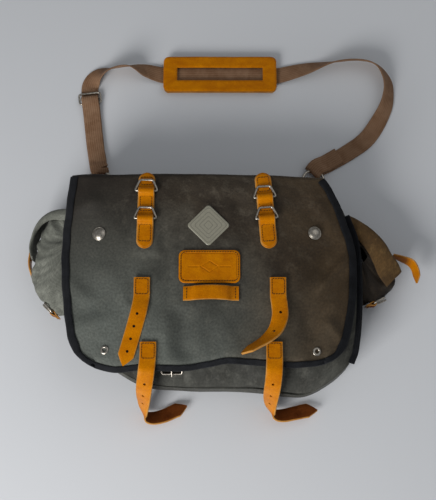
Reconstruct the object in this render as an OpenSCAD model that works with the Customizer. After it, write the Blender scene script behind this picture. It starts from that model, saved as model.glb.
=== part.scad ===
// Satchel bag in waxed canvas and leather, lying on its back.
// X runs across the bag, Y up towards its mouth and Z out of its front.
// The origin is on the flat back, on the surface that the bag lies on.

/* [Body] */
// Height of the front panel above the back at the middle
front_z = 84; // [76:1:88]
// Height of the front panel at its left edge
left_edge_z = 56; // [50:1:60]
// Height of the front panel at its right edge
right_edge_z = 47; // [44:1:52]
// Thickness of the body's canvas walls
wall_t = 2.4; // [2:0.2:2.6]
// Thickness of the lined back panel
back_t = 3; // [2.5:0.5:3.5]

/* [Flap] */
// Gap between the front panel and the flap's underside
flap_gap = 8; // [8:0.5:10]
// Thickness of the flap's doubled canvas
flap_t = 2; // [1.6:0.2:2.4]
// Width of the binding tape
binding_w = 9; // [7:1:12]

/* [Leather] */
// Width of the leather straps
strap_w = 22; // [20:0.5:22]
// Thickness of the leather straps
strap_t = 3; // [2.5:0.5:3]
// Width of the label
label_w = 80; // [70:1:84]
// Height of the label
label_h = 44; // [38:1:44]
// Side of the square reflector
reflector_side = 41; // [36:1:42]

/* [Metal] */
// Diameter of the ring wire
ring_wire_d = 3.2; // [2.8:0.2:3.2]
// Base width of a lashing ring, between wire centres
ring_base = 30; // [29:0.5:32]
// Top width of a lashing ring, between wire centres
ring_top = 17; // [15:0.5:18]
// Height of a lashing ring, between wire centres
ring_h = 15; // [13:0.5:16]
// Diameter of the wire in the strap's D-rings
dring_wire_d = 4; // [3.6:0.2:4]

/* [Shoulder strap] */
// Width of the webbing
webbing_w = 25; // [24:0.5:26]
// Thickness of the webbing
webbing_t = 2.4; // [2:0.2:2.4]
// Length of the shoulder pad
pad_l = 164; // [150:1:166]
// Width of the shoulder pad
pad_w = 53; // [48:1:54]

/* [Hidden] */
$fn = 48;

canvas_c = "#4b463a";
pocket_c = "#77786a";
binding_c = "#17181c";
leather_c = "#c4821c";
webbing_c = "#8a735a";
steel_c = "#c9c9cc";
reflector_c = "#8f8d7c";

// Air between pieces that move against each other
air = 0.3;
// Radial clearance of a bar in its tunnel
fit = 0.05;
// Height of a piece that is cut off by another shape
tall = 140;

// Plan of the body, counter-clockwise from the right end of its mouth
body_plan = [
    [150, 117], [-172, 117], [-178, 40], [-176, -40], [-160, -95], [-128, -135],
    [-85, -158], [-30, -165], [60, -166], [100, -172], [130, -172], [165, -152],
    [188, -125], [198, -60], [198, 20], [186, 62], [172, 92]
];
// Height of the front along Y, where it rounds down to the base
base_curve = [[-176, 18], [-169, 36], [-151, 53], [-126, 68], [-96, 83], [-70, 92], [130, 92]];
// Plan of the flap, counter-clockwise from the right end of its fold
flap_plan = [
    [148, 118], [-186, 118], [-196, 30], [-192, -50], [-181, -100], [-169, -117],
    [-146, -133], [-120, -141], [-89, -140], [-31, -143], [26, -134], [116, -138],
    [143, -134], [162, -127], [176, -116], [191, -57], [195, 0], [192, 32],
    [184, 50], [172, 82]
];
mouth_y = 117;
// The arch of the front across X
arch_mid = 5;
arch_half = 199;
arch_power = 3;
arch_steps = 24;

flap_over = flap_gap + flap_t;
// The flap's two folds: along the back's top edge, and along the front's
roof_y = 119;
roof_hinge_z = 12;

// A level piece on the flap starts this high
deck_z = front_z + flap_over + 0.3;

patch_l = 103;
patch_t = 2.2;
tunnel_h = 7;
tunnel_l = 10;
ring_z = deck_z + patch_t + ring_wire_d / 2 + 0.7;
// Each patch's middle and lean, then where its two base bars lie along it
patch_left = [-84.5, 66.5, -1, 26.5, -11.5];
patch_right = [74.5, 66.5, 4.5, 17.5, -11.5];

concho_at = [[-146.6, 38], [139, 38.5]];
concho_r = 9;
grommet_at = [[-134.7, -117], [137.7, -119]];
grommet_r = 2.5;

upper_y = -24;
upper_base_l = 25;
lower_y = -108;
lower_base_l = 24;
left_base_x = -78;
right_base_x = 83;

dring_y = 138;
dring_z = 7;
dring_r = 15;
dring_left_x = -159;
dring_right_x = 148;

slider_at = [-178, 266];
slider_lean = 7.6;
pad_at = [14, 303];
webbing_z = 0.4;
upper_ply_z = webbing_z + webbing_t + air;

pouch_z = [8, 50];
pouch_left = [
    [-178.6, 72], [-205, 68], [-228, 52], [-238, 30], [-238, 0], [-229, -36], [-206, -62], [-178, -62]
];
pouch_right = [
    [188.8, 64], [214, 50], [236, 30], [251, 4], [257, -14], [240, -33], [216, -46],
    [200.5, -46], [200.5, 22]
];
lid_left = [[-181, 80], [-206, 81], [-230, 69], [-243, 46], [-244.5, 26]];
lid_right = [[190, 72], [213, 60], [236, 41], [258, 10]];
pocket_strap_w = 18;
pocket_strap_z = 20;
side_strap_left = [[-246.8, 28], [-248.5, 10], [-245, -8]];
side_strap_right = [[255, 20], [281, 9], [285, -17]];

buckle_wire_d = 3;
prong_d = 2.4;
front_buckle_l = 20;
side_buckle_l = 16;
// Bar of each front buckle, the slope it lies at and the length of its tab
front_left = [-49, -128, 71.5, 31, 16];
front_right = [116, -116, 78.5, 20, 10];

// Height of the arched front at x, with the flap's lift added
function clamp1(t) = t > 1 ? 1 : t < -1 ? -1 : t;
function edge_z(x) = x < arch_mid ? left_edge_z : right_edge_z;
function arch_z(x) = edge_z(x)
    + (front_z - edge_z(x)) * (1 - pow(abs(clamp1((x - arch_mid) / arch_half)), arch_power));
function arch_slope(x) = atan((arch_z(x + 1) - arch_z(x - 1)) / 2);

function unit(v) = v / norm(v);
function left_of(v) = [-v[1], v[0]];
function miter(a, b) = (a + b) / (1 + a * b);

// A closed counter-clockwise outline moved inwards by d
function inset(pts, d) = [
    for (i = [0 : len(pts) - 1])
        let (n = len(pts), p = pts[(i + n - 1) % n], c = pts[i], q = pts[(i + 1) % n])
        c + d * miter(left_of(unit(c - p)), left_of(unit(q - c)))
];

// One side of an open path, at distance d to its left
function beside(path, d) = [
    for (i = [0 : len(path) - 1])
        let (m = len(path) - 1)
        let (a = i > 0 ? unit(path[i] - path[i - 1]) : unit(path[1] - path[0]))
        let (b = i < m ? unit(path[i + 1] - path[i]) : unit(path[m] - path[m - 1]))
        path[i] + d * miter(left_of(a), left_of(b))
];
function reversed(list) = [for (i = [len(list) - 1 : -1 : 0]) list[i]];
function band(path, w) = concat(beside(path, -w / 2), reversed(beside(path, w / 2)));
function arc(c, r, a0, a1, steps) = [
    for (i = [0 : steps]) c + r * [cos(a0 + (a1 - a0) * i / steps), sin(a0 + (a1 - a0) * i / steps)]
];
function rounded_rect(w, h, r) = concat(
    arc([w / 2 - r, h / 2 - r], r, 0, 90, 6), arc([r - w / 2, h / 2 - r], r, 90, 180, 6),
    arc([r - w / 2, r - h / 2], r, 180, 270, 6), arc([w / 2 - r, r - h / 2], r, 270, 360, 6)
);

// ---- building blocks ----

module slab(pts, z0, z1) {
    translate([0, 0, z0]) linear_extrude(z1 - z0) polygon(pts);
}

// All that lies under the arch of the front, raised by lift
module under_arch(lift) {
    step = 2 * (arch_half + 12) / arch_steps;
    start = arch_mid - arch_half - 12;
    crest = [for (i = [0 : arch_steps]) [start + i * step, arch_z(start + i * step) + lift]];
    rotate([90, 0, 0]) linear_extrude(500, center = true)
        polygon(concat([[start, -5], [start + arch_steps * step, -5]], reversed(crest)));
}

// All that lies under the curve down to the base, raised by lift
module under_base_curve(lift) {
    crest = [for (p = base_curve) [p[0] - lift, p[1] + lift]];
    rotate([90, 0, 90]) linear_extrude(600, center = true)
        polygon(concat([[130, -5], [base_curve[0][0] - lift, -5]], crest));
}

module under_front(lift) {
    intersection() {
        under_arch(lift);
        under_base_curve(lift);
    }
}

// A straight wire from a to b
module rod(a, b, d) {
    v = b - a;
    translate(a) rotate([0, acos(v[2] / norm(v)), atan2(v[1], v[0])]) cylinder(h = norm(v), d = d);
}

// A ring with a round bar along X, closed by a flattened wire along a path
module bar_ring(path, bar_l, d) {
    flat = 0.94 * d;
    rotate([0, 90, 0]) cylinder(h = bar_l + d, d = d, center = true);
    slab(band(path, flat), -flat / 2, flat / 2);
}

// A leather tunnel round a bar that lies along X
module tunnel(w, l, h, bar_d) {
    difference() {
        translate([-w / 2, -l / 2, -h / 2]) cube([w, l, h]);
        rotate([0, 90, 0]) cylinder(h = w + 2, r = bar_d / 2 + fit, center = true);
    }
}

// ---- body ----

module back_panel() {
    color(canvas_c) slab(body_plan, 0, back_t);
}

module front_panel() {
    color(canvas_c) difference() {
        intersection() {
            slab(body_plan, back_t + 6, tall);
            under_front(0);
        }
        under_front(-wall_t);
    }
}

// The band of canvas round the base and the two sides; the mouth stays open
module gusset() {
    color(canvas_c) intersection() {
        difference() {
            slab(body_plan, back_t, tall);
            slab(inset(body_plan, wall_t), 0, tall + 1);
            translate([-160, mouth_y - 10, 0]) cube([306, 20, tall]);
        }
        under_front(-wall_t);
    }
}

// Tape over the seam between the front panel and the gusset, on the right only
module gusset_binding() {
    color(binding_c) difference() {
        intersection() {
            slab(inset(body_plan, -1.6), back_t + 14, tall);
            difference() {
                under_front(1.4);
                under_front(-9);
            }
        }
        slab(body_plan, 0, tall + 1);
        translate([-300, mouth_y - 6, 0]) cube([600, 20, tall]);
        translate([-300, -200, 0]) cube([460, 400, tall]);
        translate([180, -48, 0]) cube([60, 118, 52]);
    }
}

module front_pocket() {
    outline = [[98, -14], [-34, -14], [-34, -157], [98, -160]];
    color(canvas_c) difference() {
        intersection() {
            slab(outline, 20, tall);
            under_front(flap_gap - 0.5);
        }
        intersection() {
            slab([[96.4, 0], [-32.4, 0], [-32.4, -155.2], [96.4, -158.2]], 0, tall + 1);
            under_front(flap_gap - 2);
        }
        under_front(0);
    }
}

module inner_pocket() {
    color(canvas_c) translate([-90, -110, back_t + 6]) cube([190, 150, 1.6]);
    color(canvas_c) translate([-90, -110, back_t]) cube([190, 3, 6]);
    color(canvas_c) for (x = [-90, 97]) translate([x, -107, back_t]) cube([3, 147, 6]);
}

module base_stiffener() {
    color("#2b2b2b") translate([-75, -154.5, back_t + 1]) cube([215, 2, 34]);
}

module pouch(outline, mouth) {
    color(pocket_c) difference() {
        slab(outline, pouch_z[0], pouch_z[1]);
        slab(mouth, pouch_z[0] + 2, pouch_z[1] - 2);
    }
}

module side_pouch_left() {
    pouch(pouch_left, [
        [-170, 90], [-204, 90], [-204, 65], [-225.5, 50], [-235, 29], [-235, 1], [-226, -34],
        [-205, -59], [-170, -59]
    ]);
}

module side_pouch_right() {
    pouch(pouch_right, [
        [180, 85], [180, -43], [215, -43], [238.5, -30.5], [253.5, -13], [248, 3], [234, 27],
        [212, 47], [212, 85]
    ]);
}

module dring_tab(x) {
    color(leather_c) translate([x, dring_y, dring_z]) tunnel(22, 9, 7.6, dring_wire_d);
    color(leather_c) translate([x - 11, mouth_y + 0.2, dring_z - 3.8]) cube([22, dring_y - mouth_y - 4, 2.6]);
}

module dring_tab_left() {
    dring_tab(dring_left_x);
}

module dring_tab_right() {
    dring_tab(dring_right_x);
}

// ---- flap ----

module flap_roof() {
    color(canvas_c) intersection() {
        translate([-186, roof_y, roof_hinge_z - 1.5]) cube([334, flap_t, tall]);
        under_arch(flap_over);
    }
}

module flap_holes() {
    for (p = concho_at) translate([p[0], p[1], 0]) cylinder(h = tall, r = 3);
    for (p = grommet_at) grommet_place(p) cylinder(h = 30, r = grommet_r + 0.9, center = true);
}

module flap_sheet(outline) {
    intersection() {
        slab(outline, 40, tall);
        difference() {
            under_arch(flap_over);
            under_arch(flap_gap);
        }
    }
}

module flap_front() {
    color(canvas_c) difference() {
        flap_sheet(inset(flap_plan, 1.2));
        flap_holes();
    }
}

// Tape folded round the flap's sides and lower edge, none along the fold
module flap_binding() {
    color(binding_c) difference() {
        intersection() {
            slab(flap_plan, 40, tall);
            difference() {
                under_arch(flap_over + 1.2);
                under_arch(flap_gap - 1);
            }
        }
        slab(inset(flap_plan, binding_w), 0, tall + 1);
        intersection() {
            slab(inset(flap_plan, 1.2), 0, tall + 1);
            difference() {
                under_arch(flap_over);
                under_arch(flap_gap);
            }
        }
        translate([-180, 80, 0]) cube([320, 40, tall]);
        for (x = [left_base_x, right_base_x])
            translate([x - 30, -160, deck_z - 0.4]) cube([44, 60, 20]);
        for (p = grommet_at) grommet_place(p) cylinder(h = 30, r = grommet_r + 3.7, center = true);
    }
}

module patch_place(patch) {
    translate([patch[0], patch[1], 0]) rotate([0, 0, patch[2]]) children();
}

module ring_patch(patch) {
    color(leather_c) patch_place(patch) {
        slab(rounded_rect(strap_w, patch_l, 10), deck_z, deck_z + patch_t);
        for (y = [patch[3], patch[4]]) translate([0, y, ring_z]) difference() {
            translate([-strap_w / 2 + 1.5, -tunnel_l / 2, deck_z + patch_t - ring_z])
                cube([strap_w - 3, tunnel_l, tunnel_h - patch_t]);
            rotate([0, 90, 0]) cylinder(h = strap_w + 2, r = ring_wire_d / 2 + fit, center = true);
        }
    }
}

module ring_patch_left() {
    ring_patch(patch_left);
}

module ring_patch_right() {
    ring_patch(patch_right);
}

// A ring that is wider at its round base bar than at its top
module lashing_ring(patch, level) {
    path = [[-ring_base / 2, 0], [-ring_top / 2, ring_h], [ring_top / 2, ring_h], [ring_base / 2, 0]];
    color(steel_c) patch_place(patch) translate([0, patch[level], ring_z])
        bar_ring(path, ring_base, ring_wire_d);
}

module ring_upper_left() {
    lashing_ring(patch_left, 3);
}

module ring_lower_left() {
    lashing_ring(patch_left, 4);
}

module ring_upper_right() {
    lashing_ring(patch_right, 3);
}

module ring_lower_right() {
    lashing_ring(patch_right, 4);
}

// Domed rivets, each with its post through the canvas
module rivets() {
    color(steel_c) for (p = concho_at) {
        z = arch_z(p[0]) + flap_over;
        translate([p[0], p[1], z]) rotate([0, -arch_slope(p[0]), 0]) {
            translate([0, 0, 1.2]) cylinder(h = 1.6, r = concho_r);
            intersection() {
                translate([0, 0, 2.8]) cylinder(h = 4, r = concho_r);
                translate([0, 0, 5.6 - 15]) sphere(r = 15, $fn = 64);
            }
            translate([0, 0, -4.5]) cylinder(h = 6, r = 2.2);
            translate([0, 0, -5.6]) cylinder(h = 1.4, r = 5);
        }
    }
}

module grommet_place(p) {
    translate([p[0], p[1], arch_z(p[0]) + flap_gap + flap_t / 2])
        rotate([0, -arch_slope(p[0]), 0]) children();
}

module grommets() {
    color(steel_c) for (p = grommet_at) grommet_place(p) difference() {
        union() {
            cylinder(h = 5, r = grommet_r + 0.7, center = true);
            translate([0, 0, 1.8]) cylinder(h = 0.8, r = 5.6);
            translate([0, 0, -2.6]) cylinder(h = 0.8, r = 5.6);
        }
        cylinder(h = 8, r = grommet_r, center = true);
    }
}

module reflector() {
    color(reflector_c) translate([-1.5, 46.5, 0]) rotate([0, 0, 45])
        slab(rounded_rect(reflector_side, reflector_side, 4.5), deck_z, deck_z + 1.2);
}

module label() {
    color(leather_c) translate([0, -9.5, 0]) slab(rounded_rect(label_w, label_h, 8), deck_z, deck_z + 2.6);
}

// A leather loop that a lamp clips on, sewn at both ends
module light_tab() {
    outer = [[-36, 0], [-36, 2.4], [-29, 2.6], [-22, 7.6], [22, 7.6], [29, 2.6], [36, 2.4], [36, 0]];
    inner = [[27, 0], [20.5, 5.4], [-20.5, 5.4], [-27, 0]];
    color(leather_c) translate([2, -35, deck_z]) rotate([90, 0, 0])
        linear_extrude(20) polygon(concat(outer, inner));
}

// ---- flap straps ----

module upper_base(x) {
    color(leather_c) slab([
        for (p = rounded_rect(strap_w, upper_base_l, 1.5)) p + [x, upper_y - upper_base_l / 2]
    ], deck_z, deck_z + strap_t);
}

module upper_base_left() {
    upper_base(-87.5);
}

module upper_base_right() {
    upper_base(89);
}

module lower_base(x) {
    color(leather_c) slab([
        for (p = rounded_rect(strap_w, lower_base_l, 1.5)) p + [x, lower_y - lower_base_l / 2]
    ], deck_z, deck_z + strap_t);
}

module lower_base_left() {
    lower_base(left_base_x);
}

module lower_base_right() {
    lower_base(right_base_x);
}

// A tongue along a path, its tip pointed, with round punched holes
module tongue(path, holes) {
    last = len(path) - 1;
    tip = path[last] + 13 * unit(path[last] - path[last - 1]);
    difference() {
        slab(concat(beside(path, -strap_w / 2), [tip], reversed(beside(path, strap_w / 2))),
            deck_z, deck_z + strap_t);
        for (h = holes) translate([h[0], h[1], deck_z - 1]) cylinder(h = strap_t + 2, r = 2);
    }
}

module upper_strap_left() {
    path = [[-87.5, upper_y - upper_base_l - 0.6], [-87.5, -54], [-94, -80], [-107, -124]];
    color(leather_c) tongue(path, [for (i = [0 : 3]) [-92.5 - 4.2 * i, -72 - 16 * i]]);
}

module upper_strap_right() {
    path = [[89, upper_y - upper_base_l - 0.6], [89, -54], [87, -70], [75, -88], [50, -108]];
    color(leather_c) tongue(path, [[87, -64], [81, -79]]);
}

// A tongue that hangs over the flap's edge and ends on the surface below
module hanging_tongue(x, lean, foot) {
    y0 = lower_y - lower_base_l - 0.6;
    z0 = deck_z + strap_t;
    drop = [[y0, z0 - strap_t / 2], [-149, z0 - strap_t / 2], [-166, 74], [-179, 42], [-188, 5]];
    intersection() {
        translate([x - 30, 0, 0]) rotate([90, 0, 90]) linear_extrude(60) polygon(band(drop, strap_t));
        translate([0, -100, 0]) rotate([90, 0, 0]) linear_extrude(120) polygon([
            [x - strap_w / 2, 110], [x - strap_w / 2, 80], [x - strap_w / 2 + lean, 2],
            [x + strap_w / 2 + lean, 2], [x + strap_w / 2, 80], [x + strap_w / 2, 110]
        ]);
    }
    translate([x + lean, 0, 0]) slab([
        [-strap_w / 2, -190], [-4, -199], [18, -200], [foot[0], foot[1] - 7], [foot[0], foot[1] + 7],
        [26, -184], [strap_w / 2, -183], [-strap_w / 2, -183]
    ], 0.3, 12);
}

module lower_strap_left() {
    color(leather_c) hanging_tongue(left_base_x, -15, [60, -184]);
}

module lower_strap_right() {
    color(leather_c) hanging_tongue(right_base_x, -5, [62, -189]);
}

// ---- shoulder strap ----

module dring(x) {
    color(steel_c) translate([x, dring_y, dring_z])
        bar_ring(arc([0, 0], dring_r, 180, 0, 14), 2 * dring_r, dring_wire_d);
}

module dring_left() {
    dring(dring_left_x);
}

module dring_right() {
    dring(dring_right_x);
}

// The webbing's loop round the far side of a D-ring
module ring_loop(x) {
    gap = dring_wire_d + 0.4;
    difference() {
        translate([x - 9, dring_y + dring_r - 4.6, dring_z - 4.6]) cube([18, 9.2, 9.2]);
        translate([x, dring_y, dring_z])
            slab(band(arc([0, 0], dring_r, 200, -20, 16), gap), -gap / 2, gap / 2);
    }
}

webbing_left_path = [
    [-162.3, 158.2], [-167.4, 190], [-174.8, 246], [-178.6, 274], [-175, 288], [-166, 299],
    [-148, 309], [-122, 314], [-96, 309], [-69, 303.5]
];
webbing_right_path = [
    [97, 303.5], [140, 313], [184, 321], [222, 323], [247, 315], [261, 293], [262, 270],
    [254, 243], [230, 205], [199, 182], [153, 156]
];

module webbing_left() {
    color(webbing_c) slab(band(webbing_left_path, webbing_w), webbing_z, webbing_z + webbing_t);
    color(webbing_c) ring_loop(dring_left_x);
}

module webbing_right() {
    color(webbing_c) slab(band(webbing_right_path, webbing_w), webbing_z, webbing_z + webbing_t);
    color(webbing_c) ring_loop(dring_right_x);
}

// The upper ply, from the D-ring back towards the slider
module webbing_return() {
    color(webbing_c) slab(band([[-162.8, 160.5], [-168.4, 198]], webbing_w), upper_ply_z,
        upper_ply_z + webbing_t);
}

module webbing_pad() {
    color(webbing_c) translate([pad_at[0], pad_at[1], 0])
        slab(rounded_rect(pad_l + 2, webbing_w, 0.5), webbing_z + webbing_t, webbing_z + 2 * webbing_t);
}

module pad_leather() {
    color(leather_c) translate([pad_at[0], pad_at[1], webbing_z + 2 * webbing_t]) linear_extrude(3.2)
        difference() {
            polygon(rounded_rect(pad_l, pad_w, 6));
            polygon(rounded_rect(130, 24, 3));
        }
}

module pad_backing() {
    color(leather_c) translate([pad_at[0], pad_at[1], 0]) difference() {
        slab(rounded_rect(pad_l, pad_w, 6), 0, webbing_z + webbing_t);
        // The webbing comes in through both ends
        for (x = [-pad_l / 2, pad_l / 2]) translate([x, 0, 0]) cube([8, webbing_w + 4, 20], center = true);
    }
}

module slider_place() {
    translate([slider_at[0], slider_at[1], 0]) rotate([0, 0, slider_lean]) children();
}

// A wire slider with a middle bar
module slider_frame() {
    w = webbing_w + 9.4;
    color(steel_c) slider_place() translate([0, 0, upper_ply_z + 0.1]) linear_extrude(3) difference() {
        polygon(rounded_rect(w, 19, 2));
        for (y = [-4, 4]) translate([0, y]) square([w - 6, 5], center = true);
    }
}

// The webbing's end, sewn round the slider's middle bar
module webbing_stub() {
    z = upper_ply_z + 1.6;
    color(webbing_c) slider_place() {
        difference() {
            translate([-webbing_w / 2, -3.2, z - 1.5]) cube([webbing_w, 6.4, 4.6]);
            translate([-webbing_w, -1.6, z - 1.6]) cube([2 * webbing_w, 3.2, 3.3]);
        }
        translate([-webbing_w / 2, -32, z + 1.8]) cube([webbing_w, 29, 1.3]);
    }
}

// ---- side pockets ----

module pocket_lid(path) {
    color(pocket_c) slab(band(path, 2), pouch_z[0], pouch_z[1]);
}

module pocket_lid_left() {
    pocket_lid(lid_left);
}

module pocket_lid_right() {
    pocket_lid(lid_right);
}

module pocket_strap(path) {
    color(leather_c) slab(band(path, 2.4), pocket_strap_z, pocket_strap_z + pocket_strap_w);
}

module pocket_strap_left() {
    pocket_strap(side_strap_left);
}

module pocket_strap_right() {
    pocket_strap(side_strap_right);
}

// ---- buckles: the bar lies along X at the origin, and the frame points to -Y ----

module buckle_frame(w, l) {
    color(steel_c) bar_ring([[-w / 2, 0], [-w / 2, -l], [w / 2, -l], [w / 2, 0]], w, buckle_wire_d);
}

// A prong that turns on the bar and rests on the frame's far side
module buckle_prong(l) {
    lift = (buckle_wire_d + prong_d) / 2 + 0.6;
    color(steel_c) {
        difference() {
            rotate([0, 90, 0]) cylinder(h = 3.2, r = buckle_wire_d / 2 + 1.5, center = true);
            rotate([0, 90, 0]) cylinder(h = 6, r = buckle_wire_d / 2 + fit, center = true);
        }
        rod([0, -buckle_wire_d / 2 - 0.8, 1.2], [0, -l - 2.4, lift], prong_d);
    }
}

// A leather tab folded round the bar, slotted for the prong
module chape(w, tail) {
    color(leather_c) difference() {
        union() {
            translate([-w / 2, -3.4, -3.2]) cube([w, 6.8, 6.4]);
            translate([-w / 2, 3, -3.2]) cube([w, tail, 2.6]);
        }
        rotate([0, 90, 0]) cylinder(h = w + 2, r = buckle_wire_d / 2 + fit, center = true);
        translate([-2.1, -5, -4]) cube([4.2, 9.4, 8]);
    }
}

module front_place(at) {
    translate([at[0], at[1], at[2]]) rotate([at[3], 0, 0]) children();
}

module side_place_left() {
    translate([-213.2, -59.7, pocket_strap_z + pocket_strap_w / 2])
        rotate([0, 0, 220.3]) rotate([0, 90, 0]) children();
}

module side_place_right() {
    translate([223, -47, pocket_strap_z + pocket_strap_w / 2])
        rotate([0, 0, 118.4]) rotate([0, -90, 0]) children();
}

module buckle_front_left() {
    front_place(front_left) buckle_frame(27, front_buckle_l);
}

module buckle_front_right() {
    front_place(front_right) buckle_frame(27, front_buckle_l);
}

module prong_front_left() {
    front_place(front_left) buckle_prong(front_buckle_l);
}

module prong_front_right() {
    front_place(front_right) buckle_prong(front_buckle_l);
}

module front_chape_left() {
    front_place(front_left) chape(20, front_left[4]);
}

module front_chape_right() {
    front_place(front_right) chape(20, front_right[4]);
}

module buckle_side_left() {
    side_place_left() buckle_frame(23, side_buckle_l);
}

module buckle_side_right() {
    side_place_right() buckle_frame(23, side_buckle_l);
}

module prong_side_left() {
    side_place_left() buckle_prong(side_buckle_l);
}

module prong_side_right() {
    side_place_right() buckle_prong(side_buckle_l);
}

module side_chape_left() {
    side_place_left() chape(16, 8);
}

module side_chape_right() {
    side_place_right() chape(16, 8);
}

back_panel();
front_panel();
gusset();
gusset_binding();
front_pocket();
inner_pocket();
base_stiffener();
side_pouch_left();
side_pouch_right();
dring_tab_left();
dring_tab_right();
front_chape_left();
front_chape_right();
side_chape_left();
side_chape_right();
flap_roof();
flap_front();
flap_binding();
ring_patch_left();
ring_patch_right();
rivets();
grommets();
reflector();
label();
light_tab();
upper_base_left();
upper_base_right();
lower_base_left();
lower_base_right();
ring_upper_left();
ring_lower_left();
ring_upper_right();
ring_lower_right();
upper_strap_left();
upper_strap_right();
lower_strap_left();
lower_strap_right();
dring_left();
dring_right();
webbing_left();
webbing_return();
webbing_right();
webbing_pad();
pad_leather();
pad_backing();
slider_frame();
webbing_stub();
pocket_lid_left();
pocket_lid_right();
pocket_strap_left();
pocket_strap_right();
buckle_front_left();
buckle_front_right();
buckle_side_left();
buckle_side_right();
prong_front_left();
prong_front_right();
prong_side_left();
prong_side_right();
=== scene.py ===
# %% [markdown]
# # A waxed canvas satchel
# The bag lies on its back with its flap closed and every strap unbuckled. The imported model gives
# the frame, the joints and the place of each part. These cells dress it in canvas, leather,
# webbing and nickel. Lengths are written in millimetres, as a bag maker would, and turned to
# metres at the mesh.

# %% The frame and the units
import math

import bpy
from mathutils import Matrix, Vector, noise


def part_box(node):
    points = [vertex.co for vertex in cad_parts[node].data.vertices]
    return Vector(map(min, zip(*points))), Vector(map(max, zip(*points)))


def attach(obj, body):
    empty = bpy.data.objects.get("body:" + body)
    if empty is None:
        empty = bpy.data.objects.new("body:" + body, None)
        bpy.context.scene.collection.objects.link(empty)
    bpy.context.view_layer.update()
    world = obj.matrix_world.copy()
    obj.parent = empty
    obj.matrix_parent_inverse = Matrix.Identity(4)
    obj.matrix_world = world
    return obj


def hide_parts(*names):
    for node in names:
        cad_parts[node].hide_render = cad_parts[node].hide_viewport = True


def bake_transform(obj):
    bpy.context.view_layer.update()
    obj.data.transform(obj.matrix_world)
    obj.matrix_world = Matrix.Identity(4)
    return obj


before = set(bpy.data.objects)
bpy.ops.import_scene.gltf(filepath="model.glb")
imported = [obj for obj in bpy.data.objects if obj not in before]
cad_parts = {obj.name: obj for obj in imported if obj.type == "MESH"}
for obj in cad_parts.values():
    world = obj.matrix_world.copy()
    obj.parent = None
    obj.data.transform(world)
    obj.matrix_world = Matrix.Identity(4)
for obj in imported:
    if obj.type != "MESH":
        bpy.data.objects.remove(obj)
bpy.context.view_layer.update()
MM = 0.001

# %% [markdown]
# ## Camera
# The bag is seen from above, from the side of its base, 14 degrees off the vertical. Blender fits
# the longer side of a 436 x 500 picture to its 36 mm sensor, so a long lens keeps the view nearly
# flat.

# %% Camera
TILT = math.radians(14)
EYE_DISTANCE = 1.25
aim = Vector((0.0111, 0.0365, 0))
bpy.ops.object.camera_add(rotation=(TILT, 0, 0))
camera = bpy.context.object
camera.location = aim + EYE_DISTANCE * Vector((0, -math.sin(TILT), math.cos(TILT)))
camera.data.lens = 63.4
bpy.context.scene.camera = camera
print("camera", [round(c, 3) for c in camera.location])

# %% [markdown]
# ## Colour and nodes
# A colour is written as the sRGB hex that a colour picker shows, and one function turns it to
# linear light. Another adds a shader node with its settings and its links, so a material reads as
# a list.


# %% Colour and node helpers
def linear(hex_value):
    channels = [(hex_value >> shift & 255) / 255 for shift in (16, 8, 0)]
    return (*[c / 12.92 if c <= 0.04045 else ((c + 0.055) / 1.055) ** 2.4 for c in channels], 1)


def add(tree, kind, settings=None, links=None):
    """Adds a node. A setting is one of its properties, or else the value of one of its sockets."""
    node = tree.nodes.new(kind)
    for key, value in (settings or {}).items():
        if key == "stops":
            for place, colour in value[2:]:
                node.color_ramp.elements.new(place)
            for element, (place, colour) in zip(node.color_ramp.elements, sorted(value)):
                element.position, element.color = place, colour
        elif isinstance(key, str) and hasattr(node, key):
            setattr(node, key, value)
        else:
            node.inputs[key].default_value = value
    for key, socket in (links or {}).items():
        tree.links.new(socket, node.inputs[key])
    return node


def new_material(name, **settings):
    material = bpy.data.materials.new(name)
    material.use_nodes = True
    shader = material.node_tree.nodes["Principled BSDF"]
    for key, value in settings.items():
        shader.inputs[key.replace("_", " ")].default_value = value
    return material, material.node_tree, shader


print("hex 808080 is", round(linear(0x808080)[0], 3), "in linear light")

# %% [markdown]
# ## Waxed canvas
# Waxed cotton canvas is a plain weave soaked in wax, which leaves it dark and slightly greasy,
# with paler scuffs where the wax has cracked. Cloud noise mixes the tones, stretched noise draws
# the scuffs, and two crossed waves make the weave. The real threads are 0.7 mm apart, too fine to
# show here, so they are drawn 1.5 mm apart. Each piece's own UV map is in metres, so the weave
# keeps its size and stays on the cloth when it folds.


# %% Waxed canvas
def thread_scale(spacing_mm):
    """The scale of a wave texture for bands this far apart. At scale 1 they are pi / 10 apart."""
    return math.pi / 10 / (spacing_mm * MM)


THREAD_MM = 1.5


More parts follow.
